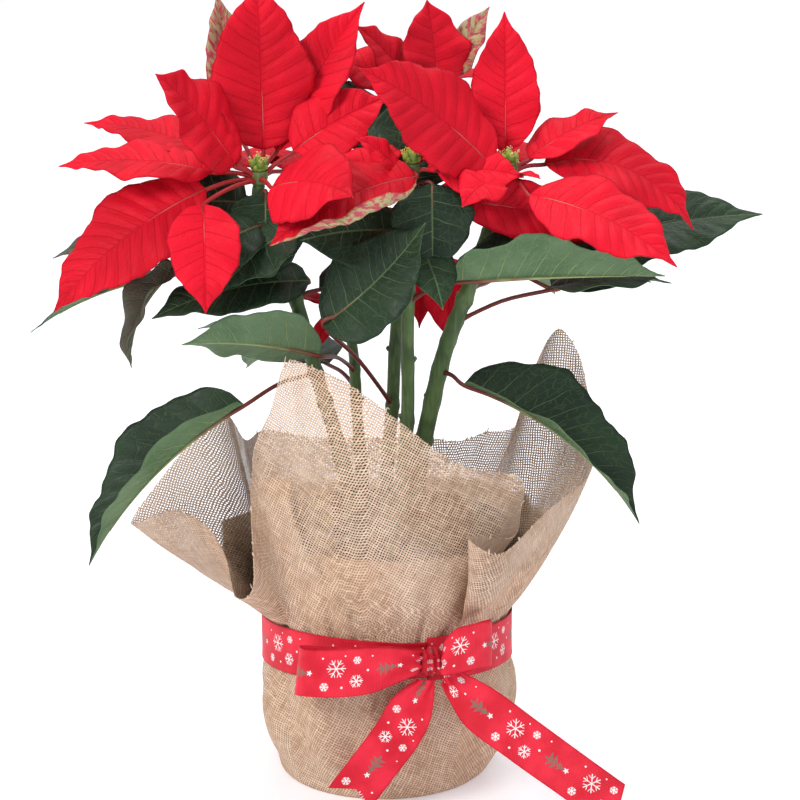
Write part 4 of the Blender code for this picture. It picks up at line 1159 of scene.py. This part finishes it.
def side_veins():
    """Veins of a leaf or bract."""
    return effect("side veins", {"Flat": None, "Spacing": 8.0, "Rim": 0.0},
                  ("Midrib", "Veins", "Network", "Height"), wire_veins)


def wire_mottle(w, given):
    """Broad patches and the finer ones within them."""
    fine = w.noise(given["Place"], w.times(given["Size"], 9.0), 3.0, 0.6)
    return w.noise(given["Place"], given["Size"], 2.0), fine


def mottle():
    """Soft uneven patches, from broad to fine."""
    return effect("living mottle", {"Place": None, "Size": 10.0}, ("Broad", "Fine"), wire_mottle)


def wire_weave(w, given):
    """Open plain weave of uneven yarn: where there is yarn, its height, its shade and its dark slubs."""
    drift = w.less(w.noise(given["Flat"], 14.0, 2.0), 0.5)
    x, y, _ = w.split(given["Flat"])
    drift_y = w.less(w.noise(w.join(y, x, 3.0), 17.0, 2.0), 0.5)
    u = w.add(w.times(x, given["Yarns"]), w.times(drift, 1.1))
    v = w.add(w.times(y, given["Yarns"]), w.times(drift_y, 1.1))
    column, row = w.math("FLOOR", u), w.math("FLOOR", v)
    off_u = w.times(w.apart(w.math("FRACT", u), 0.5), 2.0)
    off_v = w.times(w.apart(w.math("FRACT", v), 0.5), 2.0)
    spread_u = w.noise(w.join(w.times(column, 7.31), w.times(v, 0.11)), 1.0, 1.0)
    spread_v = w.noise(w.join(w.times(row, 5.17), w.times(u, 0.11), 4.0), 1.0, 1.0)
    wide_u = w.around(given["Cover"], spread_u, 0.40)
    wide_v = w.around(given["Cover"], spread_v, 0.40)
    warp = w.step(off_u, w.add(wide_u, 0.05), w.less(wide_u, 0.05))
    weft = w.step(off_v, w.add(wide_v, 0.05), w.less(wide_v, 0.05))
    parity = w.math("MODULO", w.math("ABSOLUTE", w.add(column, row)), 2.0)
    over = w.less(w.times(parity, 2.0), 1.0)
    round_u = w.math("SQRT", w.most(w.less(1.0, w.times(off_u, off_u)), 0.0))
    round_v = w.math("SQRT", w.most(w.less(1.0, w.times(off_v, off_v)), 0.0))
    high_u = w.times(warp, w.add(w.times(round_u, 0.5), w.times(over, w.times(round_v, 0.25))))
    high_v = w.times(weft, w.less(w.times(round_v, 0.5), w.times(over, w.times(round_u, 0.25))))
    fibres = w.noise(given["Flat"], 420.0, 2.0, 0.7)
    shade = w.around(w.times(w.add(spread_u, spread_v), 0.5), fibres, 0.5)
    slubs = w.step(w.noise(given["Flat"], 46.0, 1.0), 0.735, 0.78)
    return w.most(warp, weft), w.most(high_u, high_v), shade, slubs


def jute_weave():
    """Open plain weave, with so many yarns to each tenth of a metre."""
    return effect("jute weave", {"Flat": None, "Yarns": 70.0, "Cover": 0.5},
                  ("Yarn", "Height", "Shade", "Slubs"), wire_weave)


# Print of the ribbon, repeated each so many millimetres: snowflakes and dots as place along, place
# across and size, then a small fir that stands along the ribbon and its star
PRINT_REPEAT = 48.0
SNOWFLAKES = ((9, 2.5, 5.2), (19.5, -4.6, 3.6), (3, -7, 2.4), (20, 6.4, 2.2))
SNOW_DOTS = ((12, -7.5, 0.7), (1.5, 8, 0.6), (25.5, 0.6, 0.7), (13.8, 9, 0.5), (28, 8.2, 0.5))
FIR_FOOT = 31.0
STAR_AT = 42.6


def wire_print(w, given):
    """Masks of what is printed white and what is printed green."""
    x, y, _ = w.split(given["Flat"])
    turns = w.math("FRACT", w.math("DIVIDE", w.times(x, UV_MM), PRINT_REPEAT))
    along, across = w.times(turns, PRINT_REPEAT), w.times(y, UV_MM)

    def away_from(at_x, at_y):
        dx, dy = w.less(along, at_x), w.less(across, at_y)
        return w.math("SQRT", w.add(w.times(dx, dx), w.times(dy, dy))), w.math("ARCTAN2", dy, dx)

    white = 0.0
    for at_x, at_y, size in SNOWFLAKES:
        away, turn = away_from(at_x, at_y)
        wedge = w.math("WRAP", turn, math.pi / 6, -math.pi / 6)
        out = w.times(away, w.math("COSINE", wedge))
        off = w.math("ABSOLUTE", w.times(away, w.math("SINE", wedge)))
        arm = w.times(w.step(off, 0.34, 0.20), w.step(out, size, size - 0.2))
        barb_line = w.apart(w.less(out, size * 0.48), off)
        barb = w.times(w.step(barb_line, 0.34, 0.18), w.step(off, size * 0.36, size * 0.30))
        white = w.most(white, w.most(arm, barb))
    for at_x, at_y, size in SNOW_DOTS:
        away, _ = away_from(at_x, at_y)
        white = w.most(white, w.step(away, size, size - 0.15))
    away, turn = away_from(STAR_AT, 0.0)
    point = w.math("ABSOLUTE", w.math("WRAP", turn, math.pi / 5, -math.pi / 5))
    white = w.most(white, w.step(w.add(away, w.times(point, 1.7)), 1.75, 1.55))
    tall = w.less(along, FIR_FOOT)
    tier = w.math("FRACT", w.math("DIVIDE", tall, 3.3))
    half = w.times(w.add(w.less(1.0, tier), 0.25), w.step(tall, 0.0, 10.0, 4.2, 1.6))
    aside = w.math("ABSOLUTE", across)
    fir = w.times(w.step(aside, half, w.less(half, 0.3)), w.step(tall, 0.6, 0.9))
    fir = w.times(fir, w.step(tall, 10.4, 10.1))
    trunk = w.times(w.step(aside, 0.6, 0.45), w.times(w.step(tall, -1.2, -1.0), w.step(tall, 1.0, 0.8)))
    strokes = w.noise(w.join(w.times(along, 0.5), w.times(across, 2.2)), 1.6, 2.0)
    return white, w.most(w.times(fir, w.step(strokes, 0.40, 0.50)), trunk)


def printed_motifs():
    """The ribbon's white and green prints."""
    return effect("printed motifs", {"Flat": None}, ("White", "Green"), wire_print)


def finish(name, recipe, look):
    """The named material, made by its recipe the first time it is asked for."""
    material = bpy.data.materials.get(name)
    if not material:
        material = bpy.data.materials.new(name)
        material.use_nodes = True
        tree = material.node_tree
        recipe(look, Wiring(tree), tree.nodes["Principled BSDF"].inputs)
    return material


def surface(w, shader, colour, roughness, height, depth, strength, gloss=0.5):
    """Feeds a material's shader: depth is the height of its relief, gloss its specular level."""
    w.feed(shader["Base Color"], colour)
    w.feed(shader["Roughness"], roughness)
    w.feed(shader["Normal"], w.bump(height, depth, strength))
    shader["Specular IOR Level"].default_value = gloss


def blade_finish(w, shader, tones, spacing, raised, veins_show, dullness, gloss):
    """A living blade: its tones are body, deeper patches, veins, rim and what it turns to.

    raised is how far its veins stand out, below zero where they are sunken. dullness is the middle and
    the reach of its roughness."""
    body, deep, vein, rim, turned = tones
    flat, (tint, edge, tone) = w.flat(), w.traits()
    lines = w.placed(side_veins(), Flat=flat, Spacing=spacing, Rim=edge)
    patches = w.placed(mottle(), Place=flat, Size=3.2)
    colour = w.mix(w.step(w.around(patches["Broad"], tint, 0.35), 0.32, 0.72), body, deep)
    colour = w.mix(w.times(w.less(patches["Fine"], 0.35), 0.35), colour, deep)
    turning = w.times(tone, w.step(w.add(patches["Broad"], w.times(patches["Fine"], 0.5)), 0.35, 0.80))
    colour = w.mix(w.math("MINIMUM", w.add(turning, w.times(tone, 0.35)), 1.0), colour, turned)
    colour = w.mix(w.times(lines["Network"], 0.22 * veins_show), colour, vein)
    colour = w.mix(w.times(lines["Veins"], 0.85 * veins_show), colour, vein)
    colour = w.mix(w.times(lines["Midrib"], min(1.0, veins_show * 1.2)), colour, vein)
    colour = w.mix(w.times(w.step(edge, 0.955, 0.985), 0.6), colour, rim)
    relief = w.add(w.times(lines["Height"], raised), w.times(patches["Fine"], 0.25))
    middle, reach = dullness
    surface(w, shader, colour, w.around(middle, patches["Fine"], reach), relief, 0.0005, 0.9, gloss)


def leaf_upper(look, w, shader):
    tones = (look.leaf_green, look.leaf_dark, look.leaf_vein, look.leaf_dark, look.withered)
    blade_finish(w, shader, tones, LEAF_RELIEF["spacing"], -1.0, 0.7, (0.45, 0.25), 0.22)


def leaf_under(look, w, shader):
    tones = (look.leaf_under, look.leaf_under_deep, look.leaf_vein_under, look.leaf_under_deep, look.withered)
    blade_finish(w, shader, tones, LEAF_RELIEF["spacing"], 1.2, 0.9, (0.6, 0.2), 0.2)


def half_turned(look, w):
    """Cream and pink blotches where a bract is still partly green."""
    blotches = w.noise(w.flat(), 30.0, 4.0, 0.68)
    return w.mix(w.step(blotches, 0.45, 0.56), look.bract_cream, look.bract_pink)


def bract_upper(look, w, shader):
    tones = (look.bract_red, look.bract_deep, look.bract_vein, look.bract_vein, half_turned(look, w))
    blade_finish(w, shader, tones, BRACT_RELIEF["spacing"], -0.7, 0.13, (0.55, 0.2), 0.1)


def bract_underside(look, w, shader):
    turned = half_turned(look, w)
    tones = (look.bract_under, look.bract_under_deep, look.bract_under_vein, look.bract_deep, turned)
    blade_finish(w, shader, tones, BRACT_RELIEF["spacing"], 1.2, 0.6, (0.65, 0.2), 0.1)


def stalk_finish(w, shader, root, end):
    """A stalk that changes from its root's colour to its end's."""
    _, _, tone = w.traits()
    patches = w.placed(mottle(), Place=w.place(), Size=90.0)
    colour = w.mix(w.step(w.around(tone, patches["Broad"], 0.5), 0.25, 0.8), root, end)
    surface(w, shader, colour, w.around(0.42, patches["Fine"], 0.2), patches["Fine"], 0.0002, 0.5, 0.3)


def leaf_stalk(look, w, shader):
    stalk_finish(w, shader, look.petiole, look.leaf_vein_under)


def bract_stalk(look, w, shader):
    stalk_finish(w, shader, look.bract_stalk, look.bract_under_vein)


def stem_skin(look, w, shader):
    """Streaked green skin that turns corky low down."""
    _, _, tone = w.traits()
    place = w.place()
    x, y, z = w.split(place)
    patches = w.placed(mottle(), Place=place, Size=60.0)
    streaks = w.noise(w.join(w.times(x, 600.0), w.times(y, 600.0), w.times(z, 40.0)), 1.0, 3.0)
    colour = w.mix(w.step(patches["Broad"], 0.3, 0.7), look.stem_green, look.stem_deep)
    colour = w.mix(w.times(w.step(streaks, 0.45, 0.75), 0.35), colour, look.stem_light)
    colour = w.mix(w.times(tone, w.step(patches["Fine"], 0.2, 0.8)), colour, look.stem_bark)
    dullness = w.add(0.40, w.times(streaks, 0.2))
    surface(w, shader, colour, dullness, w.add(streaks, patches["Fine"]), 0.0003, 0.6, 0.35)


def fleshy(w, shader, body, deep, dullness):
    """Small soft forms of two colours."""
    patches = w.placed(mottle(), Place=w.place(), Size=260.0)
    tint, _, _ = w.traits()
    amount = w.add(w.times(tint, 0.5), w.times(patches["Broad"], 0.5))
    colour = w.mix(w.step(amount, 0.2, 0.85), body, deep)
    surface(w, shader, colour, w.around(dullness, patches["Fine"], 0.2), patches["Fine"], 0.0002, 0.5, 0.35)


def flower_cup(look, w, shader):
    fleshy(w, shader, look.cup_green, look.cup_deep, 0.4)


def nectar_lip(look, w, shader):
    fleshy(w, shader, look.lip_yellow, look.cup_green, 0.25)


def flower_filament(look, w, shader):
    fleshy(w, shader, look.filament, look.bract_under, 0.5)


def flower_anther(look, w, shader):
    fleshy(w, shader, look.lip_yellow, look.filament, 0.7)


def compost_perlite(look, w, shader):
    fleshy(w, shader, look.perlite, look.perlite_shade, 0.8)


def hessian_cloth(look, w, shader):
    """See-through where the cloth stands free; shade fills its gaps on the pot and on itself."""
    flat = w.flat()
    weave = w.placed(jute_weave(), Flat=flat, Yarns=0.1 / look.yarn_pitch, Cover=look.yarn_cover)
    patches = w.placed(mottle(), Place=flat, Size=2.6)
    colour = w.mix(w.step(weave["Shade"], 0.25, 0.75), look.jute_dark_and_shade, look.jute)
    colour = w.mix(w.times(w.step(patches["Broad"], 0.35, 0.75), 0.45), colour, look.jute_pale)
    # Painted shade: the yarn is darkened where it lies low, at its round edges and where it dips under the
    # crossing yarn
    colour = w.mix(w.times(w.step(weave["Height"], 0.50, 0.20), 0.35), colour, look.jute_dark_and_shade)
    colour = w.mix(w.times(weave["Slubs"], 0.75), colour, look.jute_slub)
    # Painted shade: the gaps on the pot and where the cloth lies double are closed and coloured as shade
    gaps = w.mix(patches["Fine"], look.jute_shade, look.jute_dark_and_shade)
    colour = w.mix(weave["Yarn"], gaps, colour)
    selvedge, _, doubled = w.traits()
    selvedge = w.step(selvedge, 0.55, 0.75)
    colour = w.mix(selvedge, colour, look.jute_pale)
    x, y, z = w.split(w.place())
    away = w.math("SQRT", w.add(w.times(x, x), w.times(y, y)))
    below = w.step(z, look.lining_top + 0.0008, look.lining_top - 0.0008)
    on_pot = w.times(w.step(away, *LINING_REACH), below)
    covered = w.most(w.most(selvedge, on_pot), w.step(doubled, 0.4, 0.6))
    w.feed(shader["Alpha"], w.most(weave["Yarn"], covered))
    dullness = w.step(weave["Shade"], 0.0, 1.0, 0.95, 0.75)
    surface(w, shader, colour, dullness, weave["Height"], 0.0008, 1.0, 0.1)


def frayed_yarn(look, w, shader):
    tint, _, _ = w.traits()
    twist = w.noise(w.place(), 2500.0, 2.0)
    colour = w.mix(w.add(w.times(tint, 0.6), w.times(twist, 0.4)), look.jute_dark_and_shade, look.jute_pale)
    surface(w, shader, colour, w.step(twist, 0.0, 1.0, 0.95, 0.8), twist, 0.0003, 0.8)


def ribbed_ribbon(look, w, shader):
    """Fine cross ribs under a print that has worn off between them."""
    flat, (_, edge, _) = w.flat(), w.traits()
    x, _, _ = w.split(flat)
    ribs = w.math("SINE", w.times(x, UV_MM * math.tau * MM / look.rib_pitch))
    ribs = w.add(w.times(ribs, 0.5), 0.5)
    motifs = w.placed(printed_motifs(), Flat=flat)
    patches = w.placed(mottle(), Place=flat, Size=6.0)
    colour = w.mix(w.step(patches["Broad"], 0.3, 0.7), look.ribbon_red, look.ribbon_deep_and_shade)
    # Painted shade: the red is deepened in the low parts between the ribs
    colour = w.mix(w.times(w.less(1.0, ribs), 0.30), colour, look.ribbon_deep_and_shade)
    colour = w.mix(w.times(w.step(edge, 0.945, 0.965), 0.45), colour, look.ribbon_deep_and_shade)
    worn = w.step(w.add(w.times(ribs, 0.35), patches["Fine"]), 0.30, 0.50)
    colour = w.mix(w.times(motifs["White"], worn), colour, look.print_white)
    colour = w.mix(w.times(motifs["Green"], worn), colour, look.print_green)
    height = w.add(ribs, w.times(w.step(edge, 0.955, 0.975), 1.2))
    surface(w, shader, colour, w.step(ribs, 0.0, 1.0, 0.6, 0.42), height, 0.00018, 0.9, 0.2)


def moulded_pot(look, w, shader):
    """Dull plastic with dry soil dust towards its rim."""
    place = w.place()
    patches = w.placed(mottle(), Place=place, Size=40.0)
    _, _, z = w.split(place)
    dust = w.times(w.step(z, 0.06, 0.13), w.step(patches["Fine"], 0.45, 0.75))
    colour = w.mix(patches["Broad"], look.pot_brown, look.pot_dark)
    colour = w.mix(w.times(dust, 0.5), colour, look.soil_light)
    surface(w, shader, colour, w.add(0.42, w.times(dust, 0.4)), patches["Fine"], 0.0002, 0.6)


def peat_compost(look, w, shader):
    """Dark crumbs with drier ones and bits of fibre among them."""
    place = w.place()
    tint, _, _ = w.traits()
    coarse = w.noise(place, 420.0, 5.0, 0.7)
    fibres = w.noise(place, 1500.0, 2.0)
    amount = w.add(coarse, w.times(w.less(tint, 0.3), 0.35))
    colour = w.mix(w.step(amount, 0.35, 0.75), look.soil_dark, look.soil_light)
    colour = w.mix(w.times(w.step(fibres, 0.62, 0.75), 0.5), colour, look.soil_fibre)
    height = w.add(coarse, w.times(fibres, 0.4))
    surface(w, shader, colour, w.add(0.8, w.times(coarse, 0.2)), height, 0.0012, 1.0)


def studio_floor(look, w, shader):
    patches = w.placed(mottle(), Place=w.place(), Size=1.5)
    w.feed(shader["Base Color"], w.mix(w.times(patches["Broad"], 0.3), look.floor_pale, look.floor_shade))
    w.feed(shader["Roughness"], w.add(0.6, w.times(patches["Fine"], 0.1)))
    shader["Specular IOR Level"].default_value = 0.1
    shader["Emission Color"].default_value = FLOOR_GLOW
    shader["Emission Strength"].default_value = FLOOR_GLOW_STRENGTH


def paint(name, words, value):
    """A colour that the user can change."""
    return bpy.props.FloatVectorProperty(
        name=name, description=words, subtype="COLOR", size=3, min=0, max=1, default=value)


class POINSETTIA_PG_plant(bpy.types.PropertyGroup):
    """Colours of the living plant and its compost."""

    bract_red: paint("Bract", "Upper side of the red bracts", (0.76, 0.008, 0.027))
    bract_deep: paint("Bract, deep", "Darker patches of the bracts", (0.55, 0.005, 0.018))
    bract_vein: paint("Bract veins", "Sunken veins on the bracts' upper side", (0.38, 0.003, 0.010))
    bract_under: paint("Bract underside", "Dull underside of the bracts", (0.55, 0.030, 0.045))
    bract_under_deep: paint("Bract underside, deep", "Darker patches underneath", (0.42, 0.014, 0.024))
    bract_under_vein: paint("Bract midrib", "Raised pale veins underneath", (0.68, 0.20, 0.17))
    bract_cream: paint("Bract, cream", "Cream of a bract that is still turning", (0.40, 0.38, 0.19))
    bract_pink: paint("Bract, pink", "Pink blotches of a bract that is still turning", (0.46, 0.075, 0.105))
    bract_stalk: paint("Bract stalk", "Short red stalks of the bracts", (0.36, 0.020, 0.022))
    leaf_green: paint("Leaf", "Upper side of the leaves", (0.019, 0.044, 0.019))
    leaf_dark: paint("Leaf, dark", "Darker patches of the leaves", (0.010, 0.024, 0.012))
    leaf_vein: paint("Leaf veins", "Pale veins on the upper side", (0.10, 0.16, 0.07))
    leaf_under: paint("Leaf underside", "Grey-green underside", (0.145, 0.235, 0.125))
    leaf_under_deep: paint("Leaf underside, deep", "Darker patches underneath", (0.085, 0.160, 0.075))
    leaf_vein_under: paint("Leaf midrib", "Pale raised veins underneath", (0.30, 0.38, 0.16))
    withered: paint("Withered", "Dry parts of old leaves", (0.10, 0.085, 0.06))
    petiole: paint("Leaf stalk", "Maroon leaf stalks", (0.17, 0.034, 0.026))
    stem_green: paint("Stem", "Green skin of the stems", (0.105, 0.185, 0.055))
    stem_deep: paint("Stem, deep", "Darker green of the stems", (0.045, 0.090, 0.030))
    stem_light: paint("Stem, light", "Pale streaks of the stems", (0.24, 0.31, 0.14))
    stem_bark: paint("Stem bark", "Corky skin low on the stems", (0.16, 0.12, 0.06))
    cup_green: paint("Flower cup", "Fleshy cups of the true flowers", (0.27, 0.36, 0.05))
    cup_deep: paint("Flower cup, deep", "Shaded green of the cups", (0.12, 0.20, 0.03))
    lip_yellow: paint("Nectar lip", "Yellow lips of the cups", (0.80, 0.58, 0.05))
    filament: paint("Filament", "Cream filaments of the flowers", (0.72, 0.55, 0.38))
    soil_dark: paint("Compost", "Moist peat compost", (0.018, 0.012, 0.008))
    soil_light: paint("Compost, dry", "Drier crumbs of compost", (0.075, 0.050, 0.032))
    soil_fibre: paint("Compost fibres", "Bits of fibre in the compost", (0.20, 0.13, 0.08))
    perlite: paint("Perlite", "White grains in the compost", (0.48, 0.46, 0.43))
    perlite_shade: paint("Perlite, stained", "Stained grains", (0.26, 0.22, 0.17))
    pot_brown: paint("Pot", "Moulded plastic of the pot", (0.060, 0.034, 0.024))
    pot_dark: paint("Pot, dark", "Darker plastic of the pot", (0.035, 0.020, 0.015))


class POINSETTIA_PG_wrapping(bpy.types.PropertyGroup):
    """Sizes and colours of the hessian and the ribbon."""

    yarn_pitch: bpy.props.FloatProperty(
        name="Yarn pitch", description="Distance from yarn to yarn", unit="LENGTH", default=0.0014)
    yarn_cover: bpy.props.FloatProperty(
        name="Yarn cover", description="Share of the pitch that a yarn fills", default=0.44, min=0.2, max=1)
    lining_top: bpy.props.FloatProperty(
        name="Lining top", description="Height up to which shade fills the gaps on the pot", unit="LENGTH",
        default=0.1373)
    rib_pitch: bpy.props.FloatProperty(
        name="Rib pitch", description="Distance from rib to rib of the ribbon", unit="LENGTH", default=0.0008)
    jute: paint("Hessian", "Natural jute yarn", (0.88, 0.66, 0.48))
    jute_pale: paint("Hessian, pale", "Lighter lengths of yarn", (0.92, 0.78, 0.64))
    # Dark jute is both darker yarn and painted shade on the low parts of the yarn and in the gaps; the gaps'
    # own colour below is painted shade too
    jute_dark_and_shade: paint("Hessian, dark", "Darker yarn", (0.54, 0.34, 0.22))
    jute_shade: paint("Hessian, gaps", "Shaded gaps of cloth that lies on a layer", (0.17, 0.095, 0.06))
    jute_slub: paint("Slubs", "Dark flecks spun into the yarn", (0.07, 0.045, 0.03))
    ribbon_red: paint("Ribbon", "Red of the ribbon", (0.85, 0.026, 0.058))
    # Deep ribbon red is a deeper tone of the red and also painted shade between the ribs
    ribbon_deep_and_shade: paint("Ribbon, deep", "Red between the ribbon's ribs", (0.62, 0.010, 0.028))
    print_white: paint("White print", "Snowflakes, dots and stars", (0.86, 0.84, 0.82))
    print_green: paint("Green print", "Small firs", (0.16, 0.17, 0.13))


class POINSETTIA_PG_stage(bpy.types.PropertyGroup):
    """Floor, light and camera."""

    floor_pale: paint("Floor", "Pale studio floor", (0.86, 0.86, 0.885))
    floor_shade: paint("Floor, shade", "Faint unevenness of the floor", (0.83, 0.83, 0.87))
    camera_reach: bpy.props.FloatProperty(
        name="Camera distance", description="From the camera to what it aims at", unit="LENGTH", default=1.6)
    camera_lift: bpy.props.FloatProperty(
        name="Camera height", description="Angle above the horizon", subtype="ANGLE",
        default=math.radians(15.5))
    camera_lens: bpy.props.FloatProperty(
        name="Focal length", description="In millimetres on a 36 mm sensor", default=135.85)
    camera_aim: bpy.props.FloatVectorProperty(
        name="Aim", description="Point in the middle of the view", unit="LENGTH", default=(0.007, 0, 0.2031))


class PieceOperator:
    """What the operators of the pieces share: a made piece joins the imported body."""

    bl_options = {"REGISTER"}

    def dress(self, made, slot, nodes):
        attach(made, "root")
        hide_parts(*nodes)


class POINSETTIA_OT_pot(PieceOperator, bpy.types.Operator):
    """Make the moulded pot"""

    bl_idname = "poinsettia.pot"
    bl_label = "Pot"

    def execute(self, context):
        self.dress(pot_piece(context.scene.poinsettia_plant), "pot_plastic", ["pot"])
        return {"FINISHED"}


class POINSETTIA_OT_compost(PieceOperator, bpy.types.Operator):
    """Fill the pot with compost"""

    bl_idname = "poinsettia.compost"
    bl_label = "Compost"

    def execute(self, context):
        self.dress(soil_piece(context.scene.poinsettia_plant), "soil", ["soil"])
        return {"FINISHED"}


class POINSETTIA_OT_hessian(PieceOperator, bpy.types.Operator):
    """Gather the square of hessian round the pot"""

    bl_idname = "poinsettia.hessian"
    bl_label = "Hessian"

    def execute(self, context):
        look = context.scene.poinsettia_wrapping
        cloth, grid = hessian_wrap(look)
        yarns = loose_yarns(grid, look)
        self.dress(cloth, "hessian", ["hessian_wrap"])
        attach(yarns, "root")
        return {"FINISHED"}


class POINSETTIA_OT_ribbon(PieceOperator, bpy.types.Operator):
    """Tie the ribbon: its band, loops, tails and knot"""

    bl_idname = "poinsettia.ribbon"
    bl_label = "Ribbon"

    def execute(self, context):
        look = context.scene.poinsettia_wrapping
        band, length = ribbon_band(look)
        self.dress(band, "ribbon", ["ribbon_band"])
        start = BOW_PRINT_START
        for name, rows in RIBBON_LOOPS.items():
            loop, length = ribbon_length("bow_" + name, rows, look, start, True)
            self.dress(loop, "ribbon", ["ribbon_" + name])
            start += length
        for name, rows in RIBBON_TAILS.items():
            tail, length = ribbon_length("bow_" + name, rows, look, start, False, TAIL_CUTS[name])
            self.dress(tail, "ribbon", ["ribbon_" + name])
            start += length
        self.dress(ribbon_knot(look), "ribbon", ["ribbon_knot"])
        return {"FINISHED"}


class POINSETTIA_OT_stems(PieceOperator, bpy.types.Operator):
    """Grow the stems with their leaves"""

    bl_idname = "poinsettia.stems"
    bl_label = "Leafy stems"

    def execute(self, context):
        for name in STEMS:
            made = leafy_stem(name, context.scene.poinsettia_plant)
            self.dress(made, "leaf_green", ["stem_" + name])
        return {"FINISHED"}


class POINSETTIA_OT_blooms(PieceOperator, bpy.types.Operator):
    """Set the red bracts on their stems"""

    bl_idname = "poinsettia.blooms"
    bl_label = "Blooms"

    def execute(self, context):
        for name in BLOOM_SEATS:
            made = bloom(name, context.scene.poinsettia_plant)
            self.dress(made, "bract_red", ["bloom_" + name])
        return {"FINISHED"}


class POINSETTIA_OT_flowers(PieceOperator, bpy.types.Operator):
    """Set the small true flowers in the middle of each bloom"""

    bl_idname = "poinsettia.flowers"
    bl_label = "True flowers"

    def execute(self, context):
        for name in BLOOM_SEATS:
            made = cyathia(name, context.scene.poinsettia_plant)
            self.dress(made, "cyathia_yellow_green", ["cyathia_" + name])
        return {"FINISHED"}


# Stage, in metres and watts: each lamp's name, place, size, power and tint
LAMP_AIM = (0, 0, 0.2)
LAMPS = (
    ("key_light", (-1.9, -2.0, 2.3), 1.3, 66, (1, 0.985, 0.96)),
    ("fill_light", (2.6, -2.2, 1.2), 2.0, 14, (0.97, 0.98, 1)),
    ("top_light", (0.3, 0.9, 3.2), 2.2, 55, (1, 1, 1)),
)
ROOM_LIGHT = (0.95, 0.95, 1, 1)
ROOM_STRENGTH = 0.62
FLOOR_SIDE = 40
FLOOR_Z = -0.0002
FLOOR_GLOW = (0.96, 0.95, 1, 1)
FLOOR_GLOW_STRENGTH = 0.28


def soft_lamp(name, at, size, power, tint):
    """A round soft light aimed at the middle of the plant."""
    lamp = bpy.data.lights.new(name, "AREA")
    lamp.shape = "DISK"
    lamp.size = size
    lamp.energy = power
    lamp.color = tint
    made = bpy.data.objects.new(name, lamp)
    made.location = at
    made.rotation_euler = (Vector(LAMP_AIM) - Vector(at)).to_track_quat("-Z", "Y").to_euler()
    bpy.context.scene.collection.objects.link(made)


class POINSETTIA_OT_stage(bpy.types.Operator):
    """Set the pale floor, the soft light and the camera"""

    bl_idname = "poinsettia.stage"
    bl_label = "Stage"

    def execute(self, context):
        look, scene = context.scene.poinsettia_stage, context.scene
        bpy.ops.mesh.primitive_grid_add(x_subdivisions=8, y_subdivisions=8, size=FLOOR_SIDE)
        floor = context.object
        floor.name = "studio_floor"
        floor.location.z = FLOOR_Z
        floor.data.materials.append(finish("studio floor", studio_floor, look))
        for lamp in LAMPS:
            soft_lamp(*lamp)
        world = bpy.data.worlds.new("pale_room")
        world.use_nodes = True
        room = world.node_tree.nodes["Background"].inputs
        room["Color"].default_value = ROOM_LIGHT
        room["Strength"].default_value = ROOM_STRENGTH
        scene.world = world
        scene.view_settings.view_transform = "Standard"
        lens = bpy.data.cameras.new("photo_view")
        lens.lens = look.camera_lens
        camera = bpy.data.objects.new("photo_view", lens)
        lift = look.camera_lift
        back = Vector((0, -math.cos(lift), math.sin(lift)))
        camera.location = Vector(look.camera_aim) + back * look.camera_reach
        camera.rotation_euler = back.to_track_quat("Z", "Y").to_euler()
        scene.collection.objects.link(camera)
        scene.camera = camera
        return {"FINISHED"}


class POINSETTIA_PT_panel(bpy.types.Panel):
    """Lists the pieces and their settings"""

    bl_idname = "POINSETTIA_PT_panel"
    bl_label = "Wrapped poinsettia"
    bl_space_type = "VIEW_3D"
    bl_region_type = "UI"
    bl_category = "Poinsettia"

    def draw(self, context):
        for step in STEPS:
            self.layout.operator(step.bl_idname)
        for group in ("poinsettia_wrapping", "poinsettia_plant", "poinsettia_stage"):
            settings = getattr(context.scene, group)
            box = self.layout.box()
            for name in type(settings).__annotations__:
                box.prop(settings, name)


GROUPS = {
    "poinsettia_plant": POINSETTIA_PG_plant,
    "poinsettia_wrapping": POINSETTIA_PG_wrapping,
    "poinsettia_stage": POINSETTIA_PG_stage,
}
STEPS = (
    POINSETTIA_OT_stage, POINSETTIA_OT_pot, POINSETTIA_OT_compost, POINSETTIA_OT_hessian,
    POINSETTIA_OT_ribbon, POINSETTIA_OT_stems, POINSETTIA_OT_blooms, POINSETTIA_OT_flowers,
)


def register():
    for group in (*GROUPS.values(), *STEPS, POINSETTIA_PT_panel):
        bpy.utils.register_class(group)
    for name, group in GROUPS.items():
        setattr(bpy.types.Scene, name, bpy.props.PointerProperty(type=group))


def unregister():
    for name in GROUPS:
        delattr(bpy.types.Scene, name)
    for group in reversed((*GROUPS.values(), *STEPS, POINSETTIA_PT_panel)):
        bpy.utils.unregister_class(group)


def main():
    """Builds the whole plant."""
    register()
    bpy.ops.poinsettia.stage()
    bpy.ops.poinsettia.pot()
    bpy.ops.poinsettia.compost()
    bpy.ops.poinsettia.hessian()
    bpy.ops.poinsettia.ribbon()
    bpy.ops.poinsettia.stems()
    bpy.ops.poinsettia.blooms()
    bpy.ops.poinsettia.flowers()
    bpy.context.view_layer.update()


if __name__ == "__main__":
    main()
